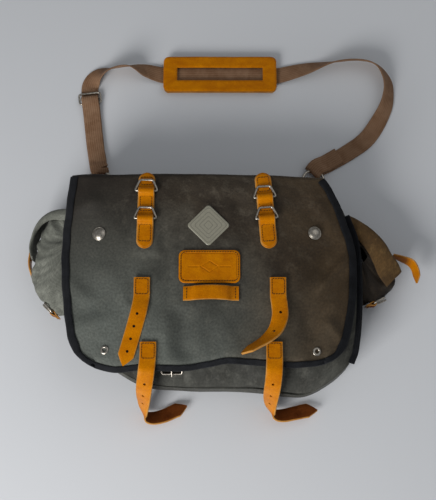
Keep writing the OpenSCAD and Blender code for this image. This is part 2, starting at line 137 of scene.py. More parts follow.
# each fade paints a tone of light and shade across the sheet: its direction on the sheet, where it
# starts and ends in metres, its share, its tint
def canvas(name, deep, middle, worn, painted_light_fades=()):
    material, tree, shader = new_material(name, Roughness=0.7, Sheen_Weight=0.04,
                                          Sheen_Roughness=0.5)
    shader.inputs["Specular IOR Level"].default_value = 0.22
    place = add(tree, "ShaderNodeTexCoord").outputs["UV"]
    clouds = add(tree, "ShaderNodeTexNoise", {"Scale": 14, "Detail": 6, "Roughness": 0.62},
                 {"Vector": place})
    tone = add(tree, "ShaderNodeValToRGB",
               {"stops": [(0.34, linear(deep)), (0.66, linear(middle))]},
               {"Fac": clouds.outputs["Fac"]})
    stretch = add(tree, "ShaderNodeMapping", {"Scale": (70, 58, 1)}, {"Vector": place})
    scuffs = add(tree, "ShaderNodeTexNoise", {"Scale": 1, "Detail": 9, "Roughness": 0.72},
                 {"Vector": stretch.outputs["Vector"]})
    mask = add(tree, "ShaderNodeMapRange", {"From Min": 0.5, "From Max": 0.78, "To Max": 0.5},
               {"Value": scuffs.outputs["Fac"]})
    colour = add(tree, "ShaderNodeMix", {"data_type": "RGBA", 7: linear(worn)},
                 {0: mask.outputs["Result"], 6: tone.outputs["Color"]})
    # a fade's tint is painted light and shade that grows along its direction, its edge broken by
    # clouds
    for direction, start, end, most, tint in painted_light_fades:
        lean = add(tree, "ShaderNodeVectorMath", {"operation": "DOT_PRODUCT", 1: direction},
                   {0: place})
        light_reach = add(tree, "ShaderNodeMath", {"operation": "MULTIPLY_ADD", 1: 0.16},
                       {0: clouds.outputs["Fac"], 2: lean.outputs["Value"]})
        share = add(tree, "ShaderNodeMapRange",
                    {"From Min": start + 0.08, "From Max": end + 0.08, "To Max": most},
                    {"Value": light_reach.outputs[0]})
        colour = add(tree, "ShaderNodeMix", {"data_type": "RGBA", 7: linear(tint)},
                     {0: share.outputs["Result"], 6: colour.outputs[2]})
    warp = add(tree, "ShaderNodeTexWave", {"Scale": thread_scale(THREAD_MM), "Distortion": 0.4},
               {"Vector": place})
    weft = add(tree, "ShaderNodeTexWave", {"bands_direction": "Y", "Scale": thread_scale(THREAD_MM),
                                           "Distortion": 0.4},
               {"Vector": place})
    weave = add(tree, "ShaderNodeMath", {"operation": "MULTIPLY"},
                {0: warp.outputs["Fac"], 1: weft.outputs["Fac"]})
    specks = add(tree, "ShaderNodeTexNoise", {"Scale": 380, "Detail": 3}, {"Vector": place})
    grainy = add(tree, "ShaderNodeMath", {"operation": "MULTIPLY_ADD", 1: 0.3},
                 {0: weave.outputs[0], 2: specks.outputs["Fac"]})
    dark_gaps = add(tree, "ShaderNodeMapRange",
                    {"From Min": 0.35, "From Max": 0.85, "To Min": 0.68, "To Max": 1.25},
                    {"Value": grainy.outputs[0]})
    threads = add(tree, "ShaderNodeVectorMath", {"operation": "SCALE"},
                  {0: colour.outputs[2], "Scale": dark_gaps.outputs["Result"]})
    tree.links.new(threads.outputs[0], shader.inputs["Base Color"])
    cracks = add(tree, "ShaderNodeTexNoise", {"Scale": 90, "Detail": 5}, {"Vector": place})
    surface = add(tree, "ShaderNodeBump", {"Strength": 0.35, "Distance": 0.0006},
                  {"Height": weave.outputs[0]})
    surface = add(tree, "ShaderNodeBump", {"Strength": 0.5, "Distance": 0.0012},
                  {"Height": cracks.outputs["Fac"], "Normal": surface.outputs[0]})
    tree.links.new(surface.outputs[0], shader.inputs["Normal"])
    gloss = add(tree, "ShaderNodeMapRange", {"To Min": 0.55, "To Max": 0.82},
                {"Value": clouds.outputs["Fac"]})
    tree.links.new(gloss.outputs["Result"], shader.inputs["Roughness"])
    return material


# the flap's fades are painted light and shade: pale grey-green light at the lower left, warm brown
# shade at the right, and dark shade at the upper left, where the cloth slopes from the lamp
flap_canvas = canvas("waxed_canvas_flap_painted_light", 0x241C13, 0x40372B, 0x6B6355,
                     painted_light_fades=[((-0.6, 1, 0), 0.0, 0.2, 0.75, 0x60655F),
                            ((1, 0.3, 0), 0.28, 0.4, 0.6, 0x4E3B22),
                            ((-1, -0.9, 0), -0.24, -0.08, 0.85, 0x150C05)])
body_canvas = canvas("waxed_canvas_body", 0x2C2B26, 0x464640, 0x716F66)
# the side pockets are one canvas in three copies of painted light and shade: the left pocket and
# lid pale where the lamp falls, the right lid a shaded brown, the right pouch in near-black painted
# shadow under its lid
lit_side_canvas = canvas("waxed_canvas_side_pocket_left_painted_light", 0x55564E, 0x7B7C72, 0xA4A498)
shaded_canvas = canvas("waxed_canvas_side_lid_right_painted_shade", 0x3A2810, 0x5E4524, 0x8A6C40)
painted_shadow_canvas = canvas("waxed_canvas_side_pocket_right_painted_shadow", 0x120D08, 0x2A2015, 0x4A3B28)
print("five waxed canvases")

# %% [markdown]
# ## Leather
# The straps are vegetable-tanned leather, dyed mustard on the grain side and waxed, so the light
# pools softly on them. The cut edges are paler and the flesh side is a rough red-brown. Voronoi
# cells 1 mm across make the grain, and slow noise the uneven dye.


# %% Leather
def leather(name, deep, bright, roughness, grain_mm, depth, coat):
    material, tree, shader = new_material(name, Roughness=roughness, Coat_Weight=coat,
                                          Coat_Roughness=0.35)
    shader.inputs["Specular Tint"].default_value = linear(0xF0A850)
    shader.inputs["Specular IOR Level"].default_value = 0.3
    place = add(tree, "ShaderNodeTexCoord").outputs["UV"]
    dye = add(tree, "ShaderNodeTexNoise", {"Scale": 45, "Detail": 7, "Roughness": 0.65},
              {"Vector": place})
    tone = add(tree, "ShaderNodeValToRGB",
               {"stops": [(0.3, linear(deep)), (0.68, linear(bright))]},
               {"Fac": dye.outputs["Fac"]})
    cells = add(tree, "ShaderNodeTexVoronoi",
                {"feature": "DISTANCE_TO_EDGE", "Scale": 1 / (grain_mm * MM)},
                {"Vector": place})
    creases = add(tree, "ShaderNodeMapRange", {"From Max": 0.25, "To Min": 0.72},
                  {"Value": cells.outputs[0]})
    colour = add(tree, "ShaderNodeVectorMath", {"operation": "SCALE"},
                 {0: tone.outputs["Color"], "Scale": creases.outputs["Result"]})
    tree.links.new(colour.outputs[0], shader.inputs["Base Color"])
    fine = add(tree, "ShaderNodeTexNoise", {"Scale": 420, "Detail": 4}, {"Vector": place})
    surface = add(tree, "ShaderNodeBump", {"Strength": depth, "Distance": 0.0004},
                  {"Height": creases.outputs[0]})
    surface = add(tree, "ShaderNodeBump", {"Strength": depth, "Distance": 0.0005},
                  {"Height": fine.outputs["Fac"], "Normal": surface.outputs[0]})
    tree.links.new(surface.outputs[0], shader.inputs["Normal"])
    return material


grain = leather("leather_grain_side", 0xAE6000, 0xD08000, 0.42, 1.0, 0.35, 0.05)
edge = leather("leather_cut_edge", 0x9A6428, 0xD09850, 0.7, 0.8, 0.5, 0)
flesh = leather("leather_flesh_side", 0x5A2A12, 0x86471F, 0.85, 0.7, 0.8, 0)
print("three faces of one leather")

# %% [markdown]
# ## Webbing, tape and thread
# The shoulder strap is a flat cotton webbing whose ribs run along it; the binding is a black tape
# with a fine rib across. Both are matt. The sewing thread is waxed and nearly black.


# %% Webbing, tape and thread
def ribbed(name, deep, bright, rib_mm, direction, roughness):
    material, tree, shader = new_material(name, Roughness=roughness, Sheen_Weight=0.05,
                                          Sheen_Roughness=0.4)
    shader.inputs["Specular IOR Level"].default_value = 0.15
    place = add(tree, "ShaderNodeTexCoord").outputs["UV"]
    ribs = add(tree, "ShaderNodeTexWave",
               {"bands_direction": direction, "Scale": thread_scale(rib_mm), "Distortion": 0.6,
                "Detail": 1},
               {"Vector": place})
    picks = add(tree, "ShaderNodeTexWave",
                {"bands_direction": "X" if direction == "Y" else "Y", "Scale": thread_scale(1.3)},
                {"Vector": place})
    weave = add(tree, "ShaderNodeMath", {"operation": "MULTIPLY"},
                {0: ribs.outputs["Fac"], 1: picks.outputs["Fac"]})
    wear = add(tree, "ShaderNodeTexNoise", {"Scale": 60, "Detail": 6, "Roughness": 0.7},
               {"Vector": place})
    level = add(tree, "ShaderNodeMath", {"operation": "MULTIPLY_ADD", 1: 0.45},
                {0: weave.outputs[0], 2: wear.outputs["Fac"]})
    tone = add(tree, "ShaderNodeValToRGB",
               {"stops": [(0.4, linear(deep)), (0.85, linear(bright))]}, {"Fac": level.outputs[0]})
    tree.links.new(tone.outputs["Color"], shader.inputs["Base Color"])
    surface = add(tree, "ShaderNodeBump", {"Strength": 0.6, "Distance": 0.0006},
                  {"Height": weave.outputs[0]})
    tree.links.new(surface.outputs[0], shader.inputs["Normal"])
    return material


webbing = ribbed("cotton_webbing", 0x6E4E36, 0x91735A, 1.7, "Y", 0.85)
tape = ribbed("binding_tape", 0x07080A, 0x1B1C20, 1.6, "X", 0.7)
thread = ribbed("waxed_thread", 0x1C130C, 0x3A2A1C, 0.6, "X", 0.5)
print("webbing, tape and thread")

# %% [markdown]
# ## Metal and reflector
# The rings, buckles, rivets and eyelets are nickel-plated steel: bright, with faint handling marks
# that change its roughness and its tone. Its colour is darkened and warmed, a painted reflection of
# the brown leather and canvas round it. The reflector is a grey retroreflective film whose tiny
# beads make a honeycomb, printed with plain nested squares.

# %% Metal and reflector
nickel, tree, shader = new_material("nickel_plated_steel", Metallic=1)
place = add(tree, "ShaderNodeTexCoord").outputs["Object"]
marks = add(tree, "ShaderNodeTexNoise", {"Scale": 380, "Detail": 6, "Roughness": 0.7},
            {"Vector": place})
# both tones are darkened and warmed, a painted reflection of the brown leather and canvas round the
# metal; the marks only pick between them
tone = add(tree, "ShaderNodeValToRGB",
           {"stops": [(0.3, linear(0x7E766A)), (0.7, linear(0xBDB6AB))]},
           {"Fac": marks.outputs["Fac"]})
tree.links.new(tone.outputs["Color"], shader.inputs["Base Color"])
gloss = add(tree, "ShaderNodeMapRange", {"To Min": 0.2, "To Max": 0.5},
            {"Value": marks.outputs["Fac"]})
tree.links.new(gloss.outputs["Result"], shader.inputs["Roughness"])

FILM_SIDE, PRINTED_GAP, BEAD = 41, 4.4, 1.1
film, tree, shader = new_material("reflective_film", Roughness=0.38, Coat_Weight=0.25,
                                  Coat_Roughness=0.2)
place = add(tree, "ShaderNodeTexCoord").outputs["UV"]
half = -FILM_SIDE / 2 * MM
middle = add(tree, "ShaderNodeMapping", {"Location": (half, half, 0)}, {"Vector": place})
away = add(tree, "ShaderNodeVectorMath", {"operation": "ABSOLUTE"}, {0: middle.outputs["Vector"]})
axes = add(tree, "ShaderNodeSeparateXYZ", None, {"Vector": away.outputs[0]})
square = add(tree, "ShaderNodeMath", {"operation": "MAXIMUM"},
             {0: axes.outputs[0], 1: axes.outputs[1]})
turns = add(tree, "ShaderNodeMath", {"operation": "MULTIPLY", 1: 2 * math.pi / (PRINTED_GAP * MM)},
            {0: square.outputs[0]})
ripple = add(tree, "ShaderNodeMath", {"operation": "COSINE"}, {0: turns.outputs[0]})
lines = add(tree, "ShaderNodeMapRange", {"From Min": 0.72, "From Max": 0.9, "To Max": 0.5},
            {"Value": ripple.outputs[0]})
beads = add(tree, "ShaderNodeTexVoronoi", {"Scale": 1 / (BEAD * MM), "feature": "DISTANCE_TO_EDGE"},
            {"Vector": place})
comb = add(tree, "ShaderNodeMapRange", {"From Max": 0.2, "To Min": 0.75, "To Max": 1.05},
           {"Value": beads.outputs[0]})
tone = add(tree, "ShaderNodeMix", {"data_type": "RGBA", 6: linear(0x8C8877), 7: linear(0x4F4C42)},
           {0: lines.outputs["Result"]})
colour = add(tree, "ShaderNodeVectorMath", {"operation": "SCALE"},
             {0: tone.outputs[2], "Scale": comb.outputs["Result"]})
tree.links.new(colour.outputs[0], shader.inputs["Base Color"])
print("nickel and film")

# %% [markdown]
# ## Curves and grids
# Most of a bag is cloth or strap, so two builders do most of the work. One places a grid, point
# by point, by a rule. The other sweeps a strap's section along a smooth path that can twist. A
# Catmull-Rom curve runs through a few given points.


# %% Curves and grids
CURVE_STEPS = 12
NO_GAP = 1e-6
CREASE_ANGLE = math.radians(50)


def smooth_path(points):
    """A Catmull-Rom curve through the points, as a dense row of points."""
    pts = [Vector(p) for p in points]
    pts = [2 * pts[0] - pts[1]] + pts + [2 * pts[-1] - pts[-2]]
    out = []
    for a, b, c, d in zip(pts, pts[1:], pts[2:], pts[3:]):
        for i in range(CURVE_STEPS):
            t = i / CURVE_STEPS
            out.append(0.5 * (2 * b + (c - a) * t + (2 * a - 5 * b + 4 * c - d) * t * t
                              + (3 * b - a - 3 * c + d) * t ** 3))
    return out + [pts[-2]]


def distances(points):
    """How far along the path each of its points is."""
    sums = [0]
    for a, b in zip(points, points[1:]):
        sums.append(sums[-1] + (b - a).length)
    return sums


def path_length(points):
    return distances(points)[-1]


def locate(sums, goal):
    """The stretch of a path that a distance falls in, and how far through that stretch it is."""
    k = 0
    while k < len(sums) - 2 and sums[k + 1] < goal:
        k += 1
    return k, min(1, (goal - sums[k]) / (sums[k + 1] - sums[k] or 1))


def even(points, count):
    """The path again, as count + 1 points at equal distances along it."""
    sums = distances(points)
    spots = [locate(sums, sums[-1] * i / count) for i in range(count + 1)]
    return [points[k].lerp(points[k + 1], share) for k, share in spots]


def only(piece):
    """Selects one piece and nothing else."""
    bpy.ops.object.select_all(action="DESELECT")
    piece.select_set(True)
    bpy.context.view_layer.objects.active = piece
    return piece


def edit(piece, *steps):
    """Runs operators on the whole mesh in edit mode, each given as (operator, settings)."""
    only(piece)
    bpy.ops.object.mode_set(mode="EDIT")
    for operator, settings in steps:
        bpy.ops.mesh.select_all(action="SELECT")
        operator(**settings)
    bpy.ops.object.mode_set(mode="OBJECT")
    return piece


def grid_mesh(name, rows, cols, rule, size):
    """A grid of rows x cols faces. Its point at shares (u, v) goes to rule(u, v)."""
    bpy.ops.object.select_all(action="DESELECT")
    bpy.ops.mesh.primitive_grid_add(x_subdivisions=rows, y_subdivisions=cols, size=1)
    piece = bpy.context.object
    piece.name = piece.data.name = name
    for vert in piece.data.vertices:
        vert.co = Vector(rule(vert.co.x + 0.5, vert.co.y + 0.5)) * MM
    for corner in piece.data.uv_layers.active.data:
        corner.uv = (corner.uv[0] * size[0] * MM, corner.uv[1] * size[1] * MM)
    return piece


def modify(piece, kind, **settings):
    """Adds one modifier and applies it."""
    only(piece)
    bpy.ops.object.modifier_add(type=kind)
    modifier = piece.modifiers[-1]
    for key, value in settings.items():
        setattr(modifier, key, value)
    bpy.ops.object.modifier_apply(modifier=modifier.name)
    return piece


def thicken(piece, thickness, offset=-1):
    """Gives a sheet its thickness, on the side away from its normals at offset -1."""
    modify(piece, "SOLIDIFY", thickness=thickness * MM, offset=offset)
    return edit(piece, (bpy.ops.mesh.normals_make_consistent, {"inside": False}))


def done(piece, materials, body=None, blend=None, nodes=()):
    """Finishes a piece: its materials, shading, the body it rides on, the nodes it replaces."""
    for material in materials if isinstance(materials, list) else [materials]:
        piece.data.materials.append(material)
    only(piece)
    bpy.ops.object.shade_smooth_by_angle(angle=CREASE_ANGLE)
    if blend:
        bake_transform(piece)
    else:
        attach(piece, body)
    if nodes:
        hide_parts(*nodes)
    return piece


print("builders ready")

# %% [markdown]
# ## Straps
# A strap's section is a flat rectangle with eased corners. Its faces are sorted by side while the
# grid is still flat: grain on top, flesh underneath, a pale cut edge at each side. Each key of
# the path gives a place and the direction across the strap, so a twist is just a turning
# direction.

# %% Strap builder
SECTION = [(-1, 0), (-0.97, 0.75), (-0.9, 1), (-0.45, 1), (0, 1), (0.45, 1), (0.9, 1), (0.97, 0.75),
           (1, 0), (0.97, -0.75), (0.9, -1), (0.45, -1), (0, -1), (-0.45, -1), (-0.9, -1),
           (-0.97, -0.75)]
TOP_FACES, EDGE_FACES = range(2, 6), (0, 1, 6, 7, 8, 9, 14, 15)
POINT_SHARE = 0.62


def ribbon(name, keys, width, thick, rows=90, start=None, end=None, two_sided=False):
    """A strap along keys of (x, y, z, across x, y, z). Its ends are 'round', 'point' or cut."""
    dense = smooth_path([k[:3] for k in keys])
    turns = smooth_path([k[3:] for k in keys])
    sums = distances(dense)
    length = sums[-1]

    def at(share):
        k, f = locate(sums, share * length)
        centre = dense[k].lerp(dense[k + 1], f)
        ahead = (dense[min(k + 2, len(dense) - 1)] - dense[max(k - 1, 0)]).normalized()
        across = turns[k].lerp(turns[k + 1], f)
        across = (across - ahead * across.dot(ahead)).normalized()
        return centre, across, ahead.cross(across)

    def end_width(distance, style):
        if style == "round" and distance < width / 2:
            return max(0.12, math.sqrt(1 - (1 - distance / (width / 2)) ** 2))
        if style == "point" and distance < POINT_SHARE * width:
            return max(0.1, (distance / (POINT_SHARE * width)) ** 0.8)
        return 1

    cache = {}

    def rule(u, v):
        row = round(u * rows)
        if row not in cache:
            cache[row] = at(row / rows)
        centre, across, up = cache[row]
        a, b = SECTION[round(v * len(SECTION)) % len(SECTION)]
        w = width / 2 * end_width(u * length, start) * end_width((1 - u) * length, end)
        return centre + across * a * w + up * b * thick / 2

    cols = len(SECTION)
    piece = grid_mesh(name, rows, cols, rule, (length, 2 * width))
    for face in piece.data.polygons:
        v = sum(piece.data.uv_layers.active.data[i].uv[1] for i in face.loop_indices)
        column = int(v / face.loop_total / (2 * width * MM) * cols)
        if not two_sided and column not in TOP_FACES:
            face.material_index = 1 if column in EDGE_FACES else 2
    edit(piece, (bpy.ops.mesh.remove_doubles, {"threshold": NO_GAP}))
    only(piece)
    bpy.ops.object.mode_set(mode="EDIT")
    bpy.ops.mesh.select_all(action="DESELECT")
    bpy.ops.mesh.select_non_manifold()
    bpy.ops.mesh.fill_holes(sides=0)
    bpy.ops.mesh.select_all(action="SELECT")
    bpy.ops.mesh.normals_make_consistent(inside=False)
    bpy.ops.object.mode_set(mode="OBJECT")
    return piece


hide = [grain, edge, flesh]
print("a strap has", len(SECTION), "points round its section")

# %% [markdown]
# ## The shape of the bag
# The front swells to a low arch between its two sides and rounds down to the base. The flap
# follows that arch 10 mm higher, and a few creases and slow waves make it lie like cloth. Every
# piece that is sewn to the flap asks the same function how high the cloth is.

# %% Heights
front_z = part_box("front_panel")[1].z / MM
flap_lift = 10
arch_mid, arch_half = 5, 199
left_edge_z, right_edge_z = 56, 47
mouth_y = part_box("back_panel")[1].y / MM
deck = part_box("label")[0].z / MM

# how the front rises from the base, as y and z
BASE_CURVE = [(-176, 18), (-169, 36), (-151, 53), (-126, 68), (-96, 83), (-70, 92), (200, 92)]
# the flap's lower edge, from the left corner to the right one
FLAP_EDGE = [(-196, -110), (-174, -120), (-162, -130), (-147, -138), (-120, -144.5), (-89, -142),
             (-60, -143), (-31, -143), (0, -138), (26, -134), (60, -136), (90, -138.5),
             (116, -138.5), (143, -134.5), (157, -129.5), (168, -122), (196, -110)]


def between(points, x):
    """The height at x of a line through points, which stays level beyond its ends."""
    if x <= points[0][0]:
        return points[0][1]
    for (x0, y0), (x1, y1) in zip(points, points[1:]):
        if x <= x1:
            return y0 + (y1 - y0) * (x - x0) / (x1 - x0)
    return points[-1][1]


def arch(x):
    """The low arch of the front, from side to side."""
    low = left_edge_z if x < arch_mid else right_edge_z
    return low + (front_z - low) * (1 - min(1, abs(x - arch_mid) / arch_half) ** 3)


def wave(x, y, size, seed):
    """Smooth noise from about -1 to 1, whose bumps are roughly this size."""
    return noise.noise(Vector((x / size, y / size, seed)))


def ease(t):
    """A share from 0 to 1 with a soft start and a soft stop."""
    t = min(1, max(0, t))
    return t * t * (3 - 2 * t)


def body_height(x, y):
    """The front's height: the lower of the arch and the base curve, with a soft corner between."""
    low, high = arch(x), between(BASE_CURVE, y)
    soft = 6
    level = -soft * math.log(math.exp(-low / soft) + math.exp(-high / soft))
    lively = ease((-95 - y) / 40)
    return level + 1.5 + lively * (3.4 * wave(x, y * 0.6, 34, 3.1) + 1.6 * wave(x, y, 13, 8.2))


def ridge(x, y, a, b, height, width):
    """A crease from a to b that fades at both ends."""
    p, q = Vector((x - a[0], y - a[1])), Vector((b[0] - a[0], b[1] - a[1]))
    t = p.dot(q) / q.length_squared
    away = (p - q * t).length / width
    return height * math.exp(-((t - 0.5) / 0.45) ** 4) * math.exp(-away * away)


# from, to, height and half width of each crease
CREASES = [((188, 14), (140, -42), 4.2, 5), ((180, 26), (132, -24), -2.6, 8),
           ((192, -24), (150, -70), 2.4, 8), ((-192, 70), (-140, 84), 2.2, 10),
           ((-194, -20), (-150, -58), 2.4, 11), ((-182, -88), (-120, -72), 2.0, 12),
           ((126, 108), (166, 40), 2.4, 12), ((110, -40), (136, -112), -2.6, 14),
           ((152, -74), (176, -108), 2.4, 8), ((-120, 70), (-20, -40), -2.6, 24),
           ((-160, 10), (-60, -100), 2.2, 20), ((-36, -62), (-30, -132), -3.4, 13),
           ((2, -66), (40, -128), 2.2, 15), ((-60, -60), (-52, -136), 1.8, 12),
           ((-40, 106), (60, 92), 1.4, 12), ((36, 96), (56, 20), -1.6, 14),
           ((110, 20), (116, -90), 1.6, 14)]
RIVETS = [(-146.6, 38), (139, 38.5)]
EYELETS = [(-134.7, -117), (137.7, -119)]
# middle and half size of each place where something flat is sewn or set in
CALM = [(-84, 66, 13, 53), (76, 66, 14, 53), (0, -21, 42, 35), (-1.5, 46.5, 26, 26),
        (-87.5, -36, 12, 14), (89, -36, 12, 14), (-78, -121, 12, 14), (83, -121, 12, 14)]
CALM += [(x, y, 10, 10) for x, y in RIVETS] + [(x, y, 6, 6) for x, y in EYELETS]
CALM_RIM = 13


def flap_height(x, y):
    """The flap's height: a swelling under the straps, two raised corners, and then the waves."""
    level = arch(x) + flap_lift + 2.0 * math.exp(-((abs(x - arch_mid) - 85) / 28) ** 2)
    level += 13 * ease((-110 - x) / 70) * ease((y - 10) / 105)
    level += 8 * ease((x - 100) / 60) * ease((y - 30) / 85)
    loose = max(ease((abs(x) - 95) / 70), ease((-85 - y) / 45))
    lively = (1.3 + 2.6 * loose) * wave(x, y, 66, 1.7) + (0.7 + 1.0 * loose) * wave(x, y, 27, 5.5)
    lively += 1.5 * sum(ridge(x, y, *crease) for crease in CREASES)
    for mx, my, hw, hh in CALM:
        calm_x = 1 - ease((abs(x - mx) - hw) / CALM_RIM)
        calm_y = 1 - ease((abs(y - my) - hh) / CALM_RIM)
        lively *= 1 - 0.97 * (calm_x * calm_y)
    droop = max(0, 1 - (y - between(FLAP_EDGE, x)) / 13) if -150 < x < 150 else 0
    return min(level + lively, deck + 2.6) - 5.5 * min(1, droop) ** 2


print("the flap's middle is", round(flap_height(0, 0), 1), "mm high")

# %% [markdown]
# ## A sheet with a shaped outline
# Canvas panels have four curved sides, so a grid is stretched between them with a Coons patch:
# each inner point blends the two pairs of opposite sides. The grid then follows the outline
# exactly, and its rounded corners fall at the ends of the sides.


# %% Coons patch
SIDE_STEPS = 200


def flat_curve(points):
    return smooth_path([(*p, 0) for p in points])


def side(points):
    """A side of the outline, as a function of the share of its length."""
    track = even(flat_curve(points), SIDE_STEPS)

    def at(share):
        place = share * SIDE_STEPS
        k = int(place)
        return track[min(SIDE_STEPS - 1, k)].lerp(track[min(SIDE_STEPS, k + 1)], place - k)
    return at


def coons(top, bottom, left, right):
    """The plan of a sheet between four sides; u runs from left to right and v from the top down."""
    def at(u, v):
        rails = top(u) * (1 - v) + bottom(u) * v
        rungs = left(v) * (1 - u) + right(v) * u
        upper = top(0) * (1 - u) + top(1) * u
        lower = bottom(0) * (1 - u) + bottom(1) * u
        return rails + rungs - (upper * (1 - v) + lower * v)
    return at


FOLD_LINE = [(-186, 122), (-90, 120.5), (30, 119), (150, 117)]
flap_left = [(-186, 122), (-192, 75), (-196.5, 30), (-196, -10), (-192, -50), (-187, -80),
             (-182.5, -101), (-174.5, -117), (-162, -130)]
flap_bottom = FLAP_EDGE[2:-1]
flap_right = [(150, 117), (162, 101), (173, 81), (184, 52), (192, 28), (195.5, 0), (194, -30),
              (191, -57), (184, -90), (177, -110), (168, -122)]
flap_plan = coons(side(FOLD_LINE), side(flap_bottom), side(flap_left), side(flap_right))
body_left = [(-171, 116), (-178, 40), (-176, -40), (-160, -95), (-142, -120)]
body_bottom = [(-142, -120), (-126, -136), (-85, -156), (-30, -162), (60, -163), (100, -169),
               (130, -169), (162, -151), (179, -136)]
body_right = [(150, 116), (171, 92), (186, 62), (198, 20), (197, -60), (189, -115), (179, -136)]
body_top = [(-171, 116), (150, 116)]
body_plan = coons(side(body_top), side(body_bottom), side(body_left), side(body_right))
print("flap middle at", [round(c) for c in flap_plan(0.5, 0.5)[:2]])

# %% [markdown]
# ## The flap
# The flap is one sheet of doubled canvas: it rises from the back's top edge, turns over a soft
# fold and lies down the front. It is made in two pieces that meet halfway up the roof, because
# each bends across one fold: the lower one leaves the back, and the upper one turns over the
# front.

# %% Flap
ROOF_SHARE = 0.13
ROOF_Y = 120.5
FOLD_R = 7
SEAM_Z = 50
FLAP_T = 1.8


def cloth_height(x, y):
    """The flap's height, with the round of its fold."""
    start = between(FOLD_LINE, x) - FOLD_R
    level = flap_height(x, min(y, start))
    if y <= start:
        return level
    return level - FOLD_R + math.sqrt(max(0, FOLD_R ** 2 - (y - start) ** 2))


def flap_rule(u, v):
    """Up the roof while v is below its share, and then over the fold and down the front."""
    edge_of_fold = flap_plan(u, 0)
    x, fold_y = edge_of_fold.x, edge_of_fold.y
    crown = flap_height(x, fold_y - FOLD_R)
    if v < ROOF_SHARE:
        t = v / ROOF_SHARE
        bow = 1.4 * math.sin(math.pi * t) * (1 + wave(x, 0, 40, 2.2))
        return x, ROOF_Y + (fold_y - ROOF_Y) * ease(t) + bow, SEAM_Z + (crown - FOLD_R - SEAM_Z) * t
    p = flap_plan(u, ((v - ROOF_SHARE) / (1 - ROOF_SHARE)) ** 1.15)
    return p.x, p.y, cloth_height(p.x, p.y)


flap = thicken(grid_mesh("flap_front_sheet", 150, 170, flap_rule, (372, 300)), FLAP_T, 1)
done(flap, flap_canvas, blend=("roof", "flap", (0, 120, 82), (0, 106, 97)),
     nodes=["flap_front"])


def roof_rule(u, v):
    """From the seam at the back's top edge, out to the roof's line and up to the flap's sheet."""
    x = flap_plan(u, 0).x
    foot = 3.5
    bow = 1.5 * math.sin(math.pi * v) * (1 + wave(x, 0, 50, 4.4))
    y = mouth_y + (ROOF_Y - mouth_y) * min(1, v * 2.2) + bow * (1 - v)
    return x, y, foot + (SEAM_Z - foot) * v


roof = thicken(grid_mesh("flap_roof_sheet", 130, 24, roof_rule, (340, 47)), FLAP_T)
done(roof, flap_canvas, blend=("bag", "roof", (0, 118, 7), (0, 120, 19)),
     nodes=["flap_roof"])
print("flap and roof,", len(flap.data.polygons) + len(roof.data.polygons), "faces")

# %% [markdown]
# ## Binding
# The flap's cut edge is closed with black tape folded over it, 9 mm showing at the sides and 5 mm
# along the lower edge, where the cloth rolls under. The tape is a strip with a U section that
# follows the outline at the height of the flap's own sheet, so both share every wave.

# %% Binding of the flap
BINDING_W, BINDING_STEPS = 9, 300


def round_the_edge(left, bottom, right, count, skipped):
    """Down the left side, along the bottom and up the right, less some steps at the two tops."""
    down, along, up = side(left), side(bottom), side(right)
    return even([down(i / 60) for i in range(skipped, 61)] + [along(i / 90) for i in range(1, 91)]
                + [up(1 - i / 60) for i in range(1, 61 - skipped)], count)


rim = round_the_edge(flap_left, flap_bottom, flap_right, BINDING_STEPS, 1)


def inward(track, k):
    """The level direction from the k-th point of an outline towards its inside."""
    ahead = (track[min(k + 2, len(track) - 1)] - track[max(k - 2, 0)]).normalized()
    return Vector((-ahead.y, ahead.x, 0))


def binding_rule(u, v):
    k = round(u * BINDING_STEPS)
    p, n = rim[k], inward(rim, k)
    # how far in and how high the tape is, from its upper edge round the cloth to its lower one
    around = [(BINDING_W, 0.9), (BINDING_W - 0.8, 1.5), (6, 1.6), (2, 1.5), (-0.6, 1.0),
              (-1.4, -0.8), (-0.6, -2.6), (2, -3.2), (6, -3.2), (BINDING_W - 0.8, -3.1),
              (BINDING_W, -2.6)]
    reach, lift = around[round(v * 10)]
    share = 1 - 0.4 * ease((-112 - p.y) / 14)
    q = p + n * (reach * share + 0.7 * wave(k, 0, 7, 6.0))
    flap_y = q.y if reach > 1 else (p + n).y
    return q.x, q.y, cloth_height(q.x, flap_y) + lift + 0.4 * wave(k, v * 40, 4, 9.0)


binding = grid_mesh("flap_binding_tape", BINDING_STEPS, 10, binding_rule, (900, 28))
edit(binding, (bpy.ops.mesh.normals_make_consistent, {"inside": False}))
thicken(binding, 0.7, 1)
done(binding, tape, body="flap", nodes=["flap_binding"])
print("binding,", round(path_length(rim)), "mm long")

# %% [markdown]
# ## The body
# The body is a soft shell: a flat back, one wall of canvas that runs down a side, round the base
# and up the other side, and a front that swells. The wall bellies out between its seams.

# %% Body shell
BODY_T = 2
WALL_STEPS = 220
WALL_FOOT = 1.2
wall_track = round_the_edge(body_left, body_bottom, body_right, WALL_STEPS, 0)


def front_rule(u, v):
    p = body_plan(u, v)
    return p.x, p.y, body_height(p.x, p.y)


front = thicken(grid_mesh("body_front_sheet", 110, 100, front_rule, (370, 280)), BODY_T, 1)
done(front, body_canvas, body="bag", nodes=["front_panel"])


def wall_rule(u, v):
    """Bellies between its seams, slumps at the right and tucks in under the back."""
    k = round(u * WALL_STEPS)
    p, n = wall_track[k], inward(wall_track, k)
    top = body_height(p.x, p.y)
    slump = 8 * math.exp(-((p.y + 72) / 30) ** 2) if p.x > 150 else 0
    belly = (2.4 + slump) * math.sin(math.pi * v) ** 0.8 * (1 + 0.9 * wave(k, v * 6, 14, 2.0))
    tuck = 5 * (1 - min(1, v / 0.16)) ** 2
    q = p - n * (belly - tuck)
    return q.x, q.y, WALL_FOOT + (top - WALL_FOOT) * v


wall = thicken(grid_mesh("body_wall_sheet", WALL_STEPS, 24, wall_rule, (760, 52)), BODY_T)
done(wall, body_canvas, body="bag", nodes=["gusset"])
BACK_T = 3


